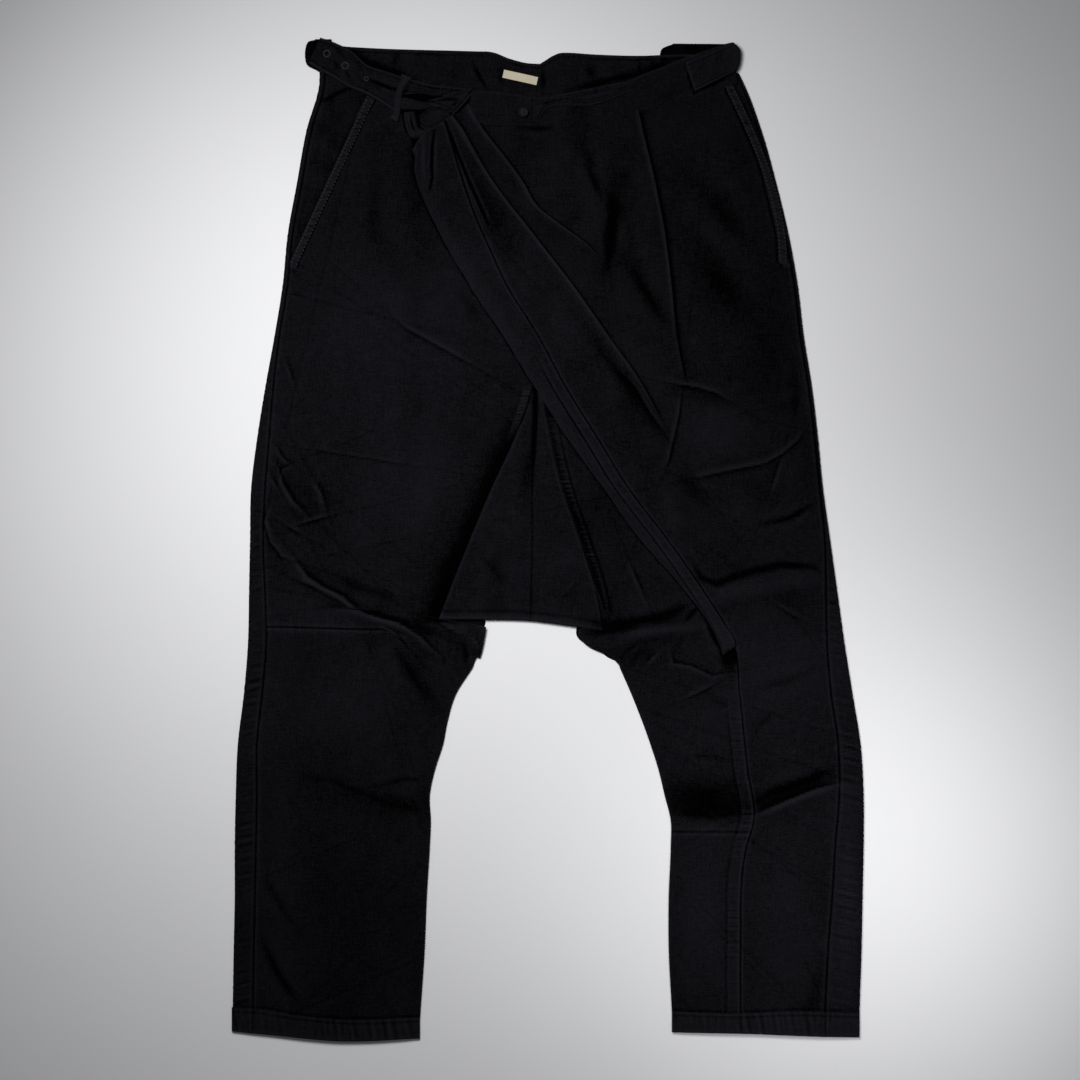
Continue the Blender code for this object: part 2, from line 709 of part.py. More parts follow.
# ---------------------------------------------------------------- waist
def column_plate(name, columns, top, thick=BAND):
    """A plate from columns (x_top, y_top, x_low, y_low), in three rows."""
    rows = []
    for f in (0, 0.5, 1):
        rows.append([(x0 + (x1 - x0) * f, y0 + (y1 - y0) * f, top) for x0, y0, x1, y1 in columns])
    plate(name, rows, thick)


def waistband_strap_right():
    """The right waistband, which runs as a strap through the loop and folds into the wrap's tip."""
    columns = [(x, STRAP("top", x), x - lean, STRAP("low", x))
               for x, lean in ((-222, 11), (-210, 6), (-198, 2), (-187, 0), (-177, 0))]
    columns += [(x, STRAP("top", x), x, 435.5 - (x + 177) * 0.5) for x in (-168, -160, -151, -144)]
    columns += [(x, STRAP("top", x), x, STRAP("low", x)) for x in (-143.2, -134, -117, -100, -88, -76)]
    column_plate("waistband_strap_right", columns, STRAP_LOW + BAND)


def strap_end():
    """The wrap waistband's twisted end, cut on a slant, with the wrap's pleats sewn to it."""
    foot = ((-140, -142.9, 419.4), (-134, -136.3, 394.4), (-126, -124, 399.4), (-117, -110.5, 406),
            (-100, -101, 411.6), (-88, -89, 421), (-77, -76.5, 434.5))
    columns = [(x, STRAP("low", x) - 2 * GAP, x_low, y_low) for x, x_low, y_low in foot]
    column_plate("strap_end", columns, STRAP_LOW + BAND + 1.2)


def belt_loop():
    """The belt loop: over the strap, and down to the right front at its foot."""
    top, foot = (-139.2, 449.5), (-151.4, 412.2)
    across = (3.9, -1.3)
    rows = []
    for f, z in ((0, 7.7), (0.4, 7.9), (0.74, 7.9), (0.86, 7.6), (1, 7.4)):
        x, y = between(top, foot, f)
        rows.append([((x + across[0] * k, y + across[1] * k, z), (0, 0, 1), CLOTH) for k in (-1, 0, 1)])
    slab("belt_loop", rows)


def side_strap(name, rows_y, start_x, edge_x, low_x, top, low, sign):
    """A waist strap folded round the side, from rows of (start y, edge y, under y, bow of the edge)."""
    rows = []
    for y_start, y_edge, y_low, bow in rows_y:
        rows.append(folded_row((start_x, y_start), (edge_x - sign * bow, y_edge), (sign, 0), (low_x, y_low),
                               lambda x, y: top, (2, 4, 2), low=low, thick_at=one_layer))
    slab(name, rows)


def waistband_fronts():
    """The three front waistband pieces: centre tab, rolled middle and left side."""
    column_plate("waistband_front_centre", [
        (-74.5, 438.6, -77.5, 418), (-60, 438.2, -65, 405.6), (-45, 437, -45, 405.4),
        (-30, 435, -30, 405.4), (-15.5, 432.6, -15.5, 405.4)], 9.2)
    column_plate("waistband_front_roll", [
        (-15, 432.5, -15, 408), (-8, 431.5, -9, 411), (-3, 432, -2, 421.5), (18, 436.2, 14, 425.5),
        (40, 440.6, 37, 425), (62, 445, 58, 430), (76, 447.2, 76, 438)], 8.9)
    column_plate("waistband_front_left", [
        (76.5, 447.4, 76.5, 422), (92, 454.4, 92, 423.2), (112, 462, 112, 426), (132, 470.2, 134, 431),
        (154, 478, 156, 437), (172, 484, 175, 443.4), (180.5, 486, 184.5, 447)], 8.2)


def fastenings():
    """The front button and the strap's three eyelets."""
    washer("front_button", (-24.5, 417.5), 9.5, 2.2, BUTTON_RADIUS, 0, "button")
    for index, (x, y) in enumerate(((-215.5, 475), (-198, 463.5), (-177.5, 450.8)), 1):
        washer(f"strap_eyelet_{index}", (x, y), STRAP_LOW + BAND + GAP, 0.9, EYELET_RADIUS, 1.6, "eyelet")


def waist():
    """Everything at the waist that lies over the panels."""
    waistband_strap_right()
    strap_end()
    belt_loop()
    waistband_fronts()
    side_strap("side_strap_right", ((489, 488, 487, 3), (484, 484, 483, 0.8), (476, 476, 476, 0),
                                    (469, 469, 469, 0.6), (464, 464.5, 465, 3)),
               -212, -238.5, -216.8, STRAP_LOW - GAP, 0.0, -1)
    side_strap("side_strap_left", ((486, 485.5, 483.5, 3.2), (480, 480, 477, 0.6), (470, 472, 471, 0),
                                   (455, 464, 465, 1.2), (440, 458.5, 460, 3.6)),
               137, 189, 112, 9.8, BAND + GAP, 1)
    fastenings()


def build():
    """Clear the scene and make every piece."""
    for old in list(bpy.data.objects):
        bpy.data.objects.remove(old, do_unlink=True)
    back_panel("back_right", "right_edge", "right_outseam", BACK_RIGHT_CROTCH, -8.2,
               "right_inner", -TURN_UNDER - GAP)
    back_panel("back_left", "left_edge", "left_outseam", BACK_LEFT_CROTCH, -7.8,
               "left_inner", TURN_UNDER + GAP)
    back_waistband("back_waistband_right", BACK_TOP, (-214, -190, -160, -120, -76, -55, -39, -22, -8.2))
    back_waistband("back_waistband_left", BACK_TOP_LEFT, (-7.7, -3, 6, 17, 51, 90, 140, 180))
    label()
    front_right_upper()
    front_right_lower()
    front_left()
    wrap_fold()
    crotch_panel_left()
    inner_leg("inner_leg_left_upper", (-125.2, -150, -175, -200, -230, -260, -285))
    inner_leg("inner_leg_left_lower", (-285.4, -300, -340, -380, -420, HEM_TOP))
    gusset_half("gusset_right", "left_edge", "valley")
    gusset_half("gusset_left", "valley", "right_edge")
    crotch_fold()
    fells_and_pockets()
    hem("hem_right", "right_edge", "right_inner", -1, HEM_TOP, RIGHT_FOOT)
    hem("hem_left", "left_edge", "left_inner", 1, HEM_TOP, LEFT_FOOT)
    waist()


build()
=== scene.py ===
# %% [markdown]
# # Wrap-front gurkha trousers, laid flat
# A pair of black cotton trousers lies on a pale floor with its front upwards. The packed
# solids give the true size and place of every cut piece. This lesson dresses them: each
# piece becomes a thin sheet with its creases, puckered seams, stitches and nap.

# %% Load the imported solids
import math

import bpy
import numpy as np
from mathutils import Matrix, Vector
from mathutils.bvhtree import BVHTree


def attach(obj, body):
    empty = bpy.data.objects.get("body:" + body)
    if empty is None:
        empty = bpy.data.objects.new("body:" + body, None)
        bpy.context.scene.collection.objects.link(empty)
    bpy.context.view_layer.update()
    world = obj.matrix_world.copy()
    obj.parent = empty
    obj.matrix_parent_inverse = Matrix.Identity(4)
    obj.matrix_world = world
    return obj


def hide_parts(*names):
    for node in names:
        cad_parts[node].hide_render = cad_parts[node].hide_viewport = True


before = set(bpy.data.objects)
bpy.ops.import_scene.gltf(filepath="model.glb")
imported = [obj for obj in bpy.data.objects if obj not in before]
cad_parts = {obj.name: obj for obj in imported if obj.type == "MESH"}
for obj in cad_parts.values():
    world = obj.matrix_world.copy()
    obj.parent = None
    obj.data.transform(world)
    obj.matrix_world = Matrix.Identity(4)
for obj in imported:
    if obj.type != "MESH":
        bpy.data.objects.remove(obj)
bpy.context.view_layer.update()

MM = 0.001

# %% [markdown]
# A tailor keeps the outline of a garment as a measuring chart: one row for each station down
# the leg, and a named column for each edge. The charts below are read smoothly between rows,
# for whole arrays at once, in millimetres. X runs towards the wearer's left, Y to the waist.

# %% Charts that read arrays
class Chart:
    """Rows of a station and its named columns, read smoothly between the rows."""

    def __init__(self, names, *rows):
        self.names = names.split()
        self.table = np.array(sorted(rows), float)

    def __call__(self, name, station):
        stations, values = self.table[:, 0], self.table[:, self.names.index(name)]
        slopes = np.gradient(values, stations)
        station = np.asarray(station, float)
        held = np.clip(station, stations[0], stations[-1])
        i = np.clip(np.searchsorted(stations, held, side="right") - 1, 0, len(stations) - 2)
        span = stations[i + 1] - stations[i]
        t = (held - stations[i]) / span
        smooth = t * t * (3 - 2 * t)
        bend = t * (1 - t) * span * ((1 - t) * slopes[i] - t * slopes[i + 1])
        return values[i] + (values[i + 1] - values[i]) * smooth + bend + (station - held) * slopes[i]


def along(points, count):
    """Points spaced evenly by number along a smooth line through a few given ones."""
    points = np.array(points, float)
    places = np.linspace(0, len(points) - 1, count)
    rows = [(k, *point) for k, point in enumerate(points)]
    chart = Chart("place " + " ".join("abcdef"[:points.shape[1]]), *rows)
    return np.stack([chart("abcdef"[k], places) for k in range(points.shape[1])], axis=-1)


# %% The outline, the seams and the wrap
OUTLINE = Chart(
    "y right_edge right_outseam left_outseam left_edge",
    (458, -224, -219, 183, 186), (450, -224, -219, 187, 190), (400, -237, -232, 206, 209),
    (350, -246, -241, 220, 223), (300, -255, -250, 232, 235), (250, -260, -255, 241, 244),
    (200, -268, -263, 247, 250), (150, -277, -269, 255, 258), (100, -285, -273, 261, 264),
    (50, -291, -277, 266, 269), (0, -292, -279, 271, 276), (-50, -293, -277, 272, 283),
    (-100, -294, -276, 273, 290), (-150, -298, -280, 277, 298), (-200, -304, -285, 284, 306),
    (-250, -306, -285, 285, 309), (-300, -307, -286, 281, 309), (-350, -307, -287, 278, 308),
    (-400, -308, -288, 274, 307), (-460, -309, -289, 271, 305),
)
LEGS = Chart(
    "y right_inner left_inner",
    (-125, -74, 70), (-150, -90, 81), (-175, -98, 91), (-200, -103, 100), (-225, -111, 108),
    (-250, -116, 114), (-275, -115, 120), (-300, -116, 120), (-350, -119, 118), (-400, -121, 118),
    (-460, -125, 121),
)
WRAP = Chart(
    "y fold seam pleat_one pleat_two press",
    (400, -129.5, -98, -84, -63, 93), (350, -127, -83, -54, -25, 105),
    (325, -117, -74.5, -35.5, -9.5, 110), (310, -110, -68.5, -23.5, 9.5, 113),
    (290, -99.5, -59.5, -8, 38, 116), (250, -76, -41, 23, 66, 121), (200, -43, -10, 58, 96, 126),
    (150, -12, 17, 93, 115, 136), (100, 20, 48, 119, 134, 150), (50, 56, 79, 135, 153, 171),
    (0, 92, 117, 152, 173, 195), (-50, 136, 152, 176, 195, 215), (-100, 168, 181, 200, 214, 232),
    (-150, 175, 187, 205, 220, 237), (-225, 183, 195, 212, 227, 243), (-275, 189, 201, 216, 230, 245),
    (-300, 182, 194, 212, 227, 243), (-400, 176, 188, 207, 223, 240), (-460, 176, 188, 205, 220, 238),
)
GUSSET = Chart(
    "y left_edge valley right_edge",
    (152, -15, -12, -11), (140, -18, -11.5, -7), (100, -32, -12.5, 1), (50, -55, -15.5, 13),
    (0, -76, -15.5, 30), (-50, -96, -16.5, 46), (-90, -111, -17, 53),
)
GUSSET_FOOT = Chart("x y", (-107, -77.5), (-60, -77.5), (-20, -78.5), (24, -84), (53, -88.5))
FRONT_WAIST = Chart(
    "x edge",
    (-103, 409), (-88, 417), (-72, 431), (-45, 434), (-12, 429), (20, 433), (62, 441), (90, 446),
    (120, 449), (150, 451), (187, 452),
)
RIGHT_TOP = 434.0      # the right front's top row, where the strap crosses the pocket
WAIST = 409.0          # the wrap panel's top row, which rises to the waist edge
KNEE = -85.0           # the right knee seam at the outseam
PANEL_FOOT = -471.0    # panels run on under the hems
POCKET_FOOT = 270.0
GUSSET_HEAD = 151.0
print("charts hold", sum(len(c.table) for c in (OUTLINE, LEGS, WRAP, GUSSET)), "stations")

# %% [markdown]
# Cloth that lies on cloth is a height over the floor at each point. The front lies on the
# back, touches it at the folded sides and puffs up a little between them. Over that come the
# creases: each is a path with a lift, a width and a lean. A lean makes one flank steep, which
# is how a pressed or fallen-over fold looks.

# %% Small helpers for soft steps
def settled(value, look, rounds=4):
    """A value that moves the place it is read at, found by looking again a few times."""
    for _ in range(rounds):
        value = look(value)
    return value


def ease(value):
    """0 below zero, 1 above one, with a soft step between."""
    value = np.clip(value, 0.0, 1.0)
    return value * value * (3 - 2 * value)


def bell(distance, width):
    """A soft hump, 1 at the middle."""
    return np.exp(-(distance / width) ** 2)


def seeded_waves(count, shortest, longest, seed):
    """Wave numbers, directions and phases for a ripple that is the same on each run."""
    random = np.random.default_rng(seed)
    lengths = np.exp(random.uniform(math.log(shortest), math.log(longest), count))
    angles, phases = random.uniform(0, math.pi, count), random.uniform(0, 2 * math.pi, count)
    return np.stack([2 * math.pi / lengths * np.cos(angles), 2 * math.pi / lengths * np.sin(angles),
                     phases, (lengths / longest) ** 0.8], axis=-1)


BROAD = seeded_waves(14, 45, 160, 4)
FINE = seeded_waves(16, 12, 34, 9)


def ripple(x, y, waves):
    """Uneven cloth: a sum of waves in many directions, about -1 to 1."""
    total = np.zeros(np.broadcast(x, y).shape)
    for kx, ky, phase, size in waves:
        total += size * np.sin(kx * x + ky * y + phase)
    return total / math.sqrt(waves[:, 3].sum())


def pucker(run, seed=0.0):
    """The uneven gathers that thread tension pulls along a felled seam."""
    beat = run + 2.2 * np.sin(run / 13.0 + seed) + 1.4 * np.sin(run / 31.0 + 2 * seed)
    depth = 0.45 + 0.35 * np.sin(run / 23.0 + 1.7 * seed) + 0.2 * np.sin(run / 7.7 + seed)
    close, wide = (np.sin(2 * math.pi * beat / length + seed) for length in (6.4, 10.9))
    return 0.62 * depth * (close + 0.6 * wide)


# %% The creases, as paths in millimetres
# lift, width, lean (0 even, 1 steep on the left of the path, -1 on the right), points
CREASES = (
    # right front: the pull from the strap, and tucks at the pocket's foot
    (0.9, 4, -1, ((-152, 220.5), (-138.6, 208.5), (-114.7, 195.2), (-90.7, 182), (-72, 171))),
    (0.7, 4, -1, ((-254, 280), (-241, 271))),
    (0.6, 3, -1, ((-256, 270), (-243, 263))),
    (0.5, 4, 1, ((-255, 240), (-240, 236))),
    # right side and thigh
    (0.6, 4, 1, ((-259, 178), (-253.5, 164), (-249.5, 151))),
    (0.9, 5, 1, ((-271, 97), (-261, 80), (-250, 71))),
    (0.7, 4, -1, ((-249, 73), (-259, 69), (-262, 60))),
    (0.35, 3, -1, ((-242, 92), (-205, 85.5), (-163, 79), (-128, 73.5))),
    # the crumple at the side of the right thigh
    (1.8, 6, 1, ((-265.5, 71), (-261, 55), (-251, 38), (-237, 24))),
    (1.3, 5, 1, ((-231, 59), (-223, 45), (-218, 28))),
    (0.8, 5, 1, ((-273, 63), (-264, 47))),
    (0.9, 4, -1, ((-256, 15), (-241, 7))),
    (0.9, 4, -1, ((-248, 15), (-226.5, 21.5), (-210.5, 25.5))),
    (1.1, 5, -1, ((-271.7, 36), (-276, 18), (-271, -1), (-260, -15), (-249, -18.5))),
    # the roll that runs down from it to the knee
    (2.2, 7, 1, ((-249.5, -19.5), (-236.5, -37), (-220.5, -47.9), (-201.5, -57.2), (-191, -67.9),
        (-177, -74.5), (-153, -81.2), (-131, -89))),
    (0.9, 4, -1, ((-250, -36), (-224, -46.5), (-205, -57), (-194.5, -63.7), (-178.5, -73))),
    (-0.7, 9, 0, ((-215, -30), (-190, -45), (-165, -52), (-140, -66))),
    # the fan at the inner knee, and pulls from the gusset's foot
    (1.4, 5, 1, ((-176, -74.5), (-146.6, -82.3), (-125.3, -95.7), (-106.7, -114.3))),
    (0.9, 4, 1, ((-173, -79.5), (-152, -90.3), (-133.3, -111.6))),
    (0.8, 4, -1, ((-163, -84), (-141, -97), (-130.6, -110.3))),
    (0.8, 4, -1, ((-107, -79), (-96, -86), (-85, -92))),
    (-1.0, 4, 0, ((-84, -97), (-80, -112), (-78, -126))),
    (0.6, 3, 1, ((-76, -93), (-70, -100), (-66, -107))),
    (-0.6, 7, 0, ((-152, -101.6), (-131, -136), (-117, -157.5))),
    # right shin, calf and ankle
    (-0.36, 5, 0, ((-247, -230), (-212, -235.5), (-186, -246), (-152, -259), (-116, -266))),
    (-0.5, 3, 0, ((-170, -241.5), (-141.5, -234.2), (-115, -234.7))),
    (0.8, 7, 0, ((-165, -246), (-140, -247), (-118, -252))),
    (-0.6, 6, 0, ((-277, -322), (-272, -340), (-259, -363), (-244, -382))),
    (-1.2, 6, 0, ((-281, -388), (-268, -418), (-256, -438), (-243, -454))),
    # wrap panel under the band
    (-0.7, 2.5, 0, ((-27, 402.5), (-10, 402), (8, 404))),
    (-0.8, 4, 0, ((33, 386), (40, 368), (46, 350), (50, 330))),
    (-1.0, 5, 0, ((60, 342), (64, 320), (61, 290), (58, 266))),
    (0.8, 5, -1, ((67, 170), (87, 149), (101, 125), (116, 104))),
    (-0.7, 6, 0, ((83, 262), (98, 238), (112, 214))),
    # across the press line and the left thigh
    (1.0, 4, 1, ((129.5, 148), (127, 123), (121.5, 99), (116.5, 78), (111, 65))),
    (1.1, 4, -1, ((113, 156.5), (122, 154.4), (146, 150.5), (164.5, 145), (180, 136))),
    (1.0, 4, -1, ((138, 61), (164.5, 66.5), (191, 72), (212, 76), (228, 85), (244, 98.5), (252, 112))),
    (0.6, 5, -1, ((231, 84), (223, 60), (217.7, 43))),
    (-0.9, 4, 0, ((206, 14), (218, 17), (239, 22.5), (255, 33), (265, 38.5))),
    # left knee
    (-1.1, 4, 0, ((139, -18), (149, -36.6), (164.5, -43.2), (180.4, -36.6), (201.7, -30), (228, -24.6),
        (255, -26), (266, -28.6))),
    (1.0, 9, 0, ((150, -60), (190, -50), (232, -42), (266, -40))),
    (0.6, 4, -1, ((223, -61), (239, -72), (250, -77))),
    # left shin and calf
    (-0.7, 7, 0, ((198.5, -196), (207, -180), (223, -166))),
    (-0.6, 7, 0, ((207, -147), (234, -138), (259, -127))),
    (2.0, 7, 1, ((203, -270), (234, -256.5), (262, -245.5), (284, -240))),
    (-1.0, 7, 0, ((205, -256), (218, -247), (251, -237), (278, -224))),
    # the shade down the left side, and the soft swell of the shin
    (-0.6, 8, 0, ((240, 175), (243, 145), (241, 112))),
    (0.9, 16, 0, ((235, -320), (228, -380), (236, -440))),
    # crotch panel and inner left leg
    (0.8, 4, 1, ((77.5, -20), (85.5, -39), (96, -63))),
    (-1.0, 6, 0, ((44, -91), (69, -86), (91, -79), (113, -75), (135, -64), (144, -61))),
    (1.6, 6, 0, ((71, -95), (96, -90), (132, -86), (152, -84))),
    (1.0, 4, 1, ((118.5, -103), (121.5, -121), (139, -124), (154, -131), (161, -134), (178, -131))),
    (-0.8, 2.5, 0, ((135, -79), (146, -65))),
    (-1.2, 2.5, 0, ((154, -79), (162.6, -97), (172, -111))),
    (0.7, 4, 1, ((93.6, -124.5), (110, -108))),
    (0.6, 3.5, 1, ((77, -113.5), (88, -102.5))),
    (0.8, 4, -1, ((131, -155), (150, -147), (166, -138))),
    (-0.5, 5, 0, ((160, -157.6), (179, -163))),
    (-0.8, 7, 0, ((121, -266), (160, -271), (196, -266))),
    (-0.4, 5, 0, ((138, -210), (182, -215))),
)


def beside(x, y, points):
    """Distance from a path, which side of it, and how far from its tapering ends."""
    points = np.array(points, float)
    spans = np.hypot(*np.diff(points, axis=0).T)
    starts = np.concatenate([[0], np.cumsum(spans)])
    near, side, run = np.full(x.shape, 1e9), np.zeros(x.shape), np.zeros(x.shape)
    for (x0, y0), (x1, y1), span, start in zip(points, points[1:], spans, starts):
        ax, ay = (x1 - x0) / span, (y1 - y0) / span
        t = np.clip((x - x0) * ax + (y - y0) * ay, 0, span)
        dx, dy = x - x0 - t * ax, y - y0 - t * ay
        distance = np.hypot(dx, dy)
        closer = distance < near
        near = np.where(closer, distance, near)
        side = np.where(closer, ax * dy - ay * dx, side)
        run = np.where(closer, start + t, run)
    total = starts[-1]
    soft = min(0.45 * total, 24)
    return near, side, 0.25 + 0.75 * ease(run / soft) * ease((total - run) / soft)


def crease(x, y, lift, width, lean, points):
    """The height that one crease adds."""
    near, side, taper = beside(x, y, points)
    if lean:
        shape = np.where(side * lean > 0, bell(near, width * 0.33), np.exp(-near / (0.9 * width)))
    else:
        shape = bell(near, width)
    return lift * taper * shape


def creases(x, y):
    """All the creases together."""
    total = np.zeros(x.shape)
    for row in CREASES:
        total += crease(x, y, *row)
    return total


def crease_shade_and_highlight(x, y):
    """Painted shade in the foot of each steep flank and in the troughs; painted highlight on the crests."""
    total = np.zeros(x.shape)
    for lift, width, lean, points in CREASES:
        near, side, taper = beside(x, y, points)
        if lean:
            foot = bell(side * lean - 0.5 * width, max(1.2, 0.15 * width))
            crest = bell(side * lean + 0.1 * width, 0.3 * width)
            total += taper * (0.12 * crest - 0.5 * min(1.2, 0.45 + 0.4 * lift) * foot)
        elif lift < 0:
            total -= 0.24 * min(1.2, -lift) * taper * bell(near, max(1.3, 0.35 * width))
    return total


print(len(CREASES), "creases")

# %% [markdown]
# Light and shade are painted into the colour too, in soft patches: lighter where the cloth
# catches the light, darker where it lies in shade. Each has a middle, two radii and a slant.

# %% Painted light and shade on the cloth
# the hems' upper edges, which lie in shade
HEM_TOPS = {
    "right": Chart("x y", (-309, -457.7), (-288, -457.9), (-249, -464), (-202, -468.5), (-125, -467)),
    "left": Chart("x y", (121, -461), (182, -463), (243, -460.6), (304, -462.6)),
}
PAINTED_PATCHES = (
    # amount (painted light above 0, painted shade below), x, y, radius along, radius across,
    # slant of the long way in degrees
    # right front and right leg
    (0.22, -155, 215, 75, 70, 0), (0.14, -150, 60, 60, 45, 20), (0.10, -120, 40, 60, 16, 66),
    (-0.20, -128, 350, 60, 16, 85), (-0.14, -120, 270, 90, 14, 75), (-0.2, -76, 228, 16, 6, -60),
    (-0.3, -124, -84, 20, 6, -18), (0.20, -215, -70, 45, 18, -8), (-0.24, -124, -140, 34, 10, -62),
    (-0.22, -165, -252, 72, 15, -12), (-0.2, -170, 322, 44, 7, 88), (-0.18, -155, 276, 32, 9, -62),
    (-0.1, -195, -370, 100, 52, 90), (0.14, -190, -150, 60, 40, 0), (0.10, -262, -300, 160, 16, 90),
    # gusset and crotch
    (0.06, -45, 0, 60, 16, 68), (-0.12, 62, 20, 60, 16, -60), (-0.36, 55, -84, 22, 9, 10),
    (-0.3, 88, -80, 55, 7, 12), (-0.5, 178, -121, 13, 8, -75), (-0.2, 85, -110, 16, 9, 40),
    # wrap and pleats
    (-0.25, -62, 330, 70, 10, -62), (0.16, 10, 225, 70, 24, -52), (-0.3, 74, 156, 80, 6, -54),
    (-0.25, 82, 152, 18, 6, -50), (0.10, 95, 165, 45, 12, -58), (0.08, 22, 362, 36, 14, -70),
    (-0.14, 70, 335, 60, 16, -75), (-0.30, 61, 300, 42, 6, 85), (-0.24, 76, 312, 26, 5, -75),
    (-0.32, 92, 248, 45, 8, -57), (0.10, 92, 285, 40, 9, -62), (0.10, 92, 350, 36, 9, -80),
    # left front
    (-0.32, 168, 324, 44, 10, -48), (-0.14, 140, 290, 60, 20, -70), (0.14, 158, 300, 36, 12, -45),
    (-0.30, 172, 248, 34, 13, -60), (-0.12, 205, 340, 60, 14, -70), (-0.20, 215, 180, 70, 26, 90),
    (0.20, 165, 105, 50, 34, 20), (0.10, 200, 30, 50, 24, 0), (-0.2, 200, -28, 60, 9, 8),
    (-0.35, 240, -243, 44, 9, 22), (-0.26, 141, 50, 22, 7, -50), (0.16, 120, 28, 30, 8, -75),
    (-0.22, 158, 139, 28, 6, -12), (-0.18, 213, 45, 28, 14, -20), (-0.16, 262, 70, 45, 10, -80),
    (-0.14, 240, -62, 22, 10, -50),
    # knees and shins
    (0.3, -83, -86, 5, 4, 0), (-0.2, -90, -106, 16, 7, -60), (0.22, 225, -120, 60, 60, 0),
    (0.06, 140, -180, 40, 60, 0), (-0.5, 152, -252, 42, 16, -2), (-0.3, 165, -262, 40, 7, 2),
    (0.25, 152, -360, 80, 30, 90), (0.19, 232, -365, 100, 30, 90), (-0.22, 262, -440, 26, 6, 76),
    (-0.16, 254, -452, 9, 7, 0), (0.26, 292, -350, 110, 14, 90),
    # along the right outseam
    (0.10, -262, 120, 60, 22, 70), (-0.15, -238, 40, 40, 18, -60),
)


def painted_light_and_shade(x, y):
    """Painted light and shade at each point, over or under the cloth's even colour."""
    total = np.zeros(np.broadcast(x, y).shape)
    for amount, cx, cy, long, short, slant in PAINTED_PATCHES:
        slant = math.radians(slant)
        c, s = math.cos(slant), math.sin(slant)
        u, v = ((x - cx) * c + (y - cy) * s) / long, ((y - cy) * c - (x - cx) * s) / short
        total += amount * np.exp(-(u * u + v * v))
    # painted shade along each hem's upper edge
    head = np.where(x < 0, HEM_TOPS["right"]("y", x), HEM_TOPS["left"]("y", x))
    return total - 0.42 * bell(y - head - 1.3, 1.2)

# %% How high the front lies
HALF_TURN = np.linspace(0, math.pi, 11)[None, 1:]      # angles round a folded side
EDGE_TOP = 3.3      # top of the fold at a side
PUFF = 2.0          # lift of the front away from the sides
FLOOR_GAP = 0.35    # underside of the back over the floor


def side_inset(x, y):
    """How far a point lies in from the nearest folded side."""
    outer = np.where(x < 0, x - OUTLINE("right_edge", y), OUTLINE("left_edge", y) - x)
    inner = np.where(x < 0, LEGS("right_inner", y) - x, x - LEGS("left_inner", y))
    inner = inner + 300 * ease((y + 118) / 60)
    return np.maximum(np.minimum(outer, inner) - 1.6, 0.0)


def front_top(x, y):
    """Upper face of the front layer."""
    x, y = np.broadcast_arrays(np.asarray(x, float), np.asarray(y, float))
    inset = side_inset(x, y)
    soft = 0.5 * ripple(x, y, BROAD) + 0.07 * ripple(x, y, FINE)
    puff = PUFF * (1 - np.exp(-inset / 30))
    return EDGE_TOP + puff + (creases(x, y) + soft) * ease(inset / 16)


def pocket_line(side, y):
    """X of a pocket opening at a height: straight on the right, bowed on the left."""
    if side == "right":
        return -176.5 + (y - 434.5) * 0.4655
    return 179.5 + 54 * np.sin((447 - y) / 175 * math.pi / 2)


def pocket_step(inset, y):
    """How much a front stands up over the pocket facing under its edge."""
    return 1.5 * np.exp(-np.maximum(0, inset - 14) / 25) * ease((y - POCKET_FOOT + 4) / 70)


def strap_rise(x, level):
    """How far the right front's top slopes up along the strap."""
    return -(x + 176) * 0.5 * ease((level - 400) / 34)


def right_top(x, y):
    """Upper face of the right front, one layer higher along the pocket."""
    return front_top(x, y) + pocket_step(x - pocket_line("right", y), y)


# %% [markdown]
# Every panel is a grid of points. The first index runs down the garment and the second runs
# across it. Edges are turned: a folded edge rolls over a small radius and tucks under, and a
# seam edge only dips, so that two panels meet in a soft groove.

# %% From grids to sheets of cloth
# the wear scale below also carries the painted light and shade
EVEN_WEAR = 0.31    # wear of flat cloth, between deep dye at 0 and rubbed bare at 1
made_pieces = []


def blurred(z, reach=3):
    """The heights averaged over a few neighbours each way."""
    window = np.ones(2 * reach + 1) / (2 * reach + 1)
    for axis in (0, 1):
        pad = [(reach, reach) if k == axis else (0, 0) for k in (0, 1)]
        padded = np.pad(z, pad, mode="edge")
        z = np.apply_along_axis(lambda line: np.convolve(line, window, "valid"), axis, padded)
    return z


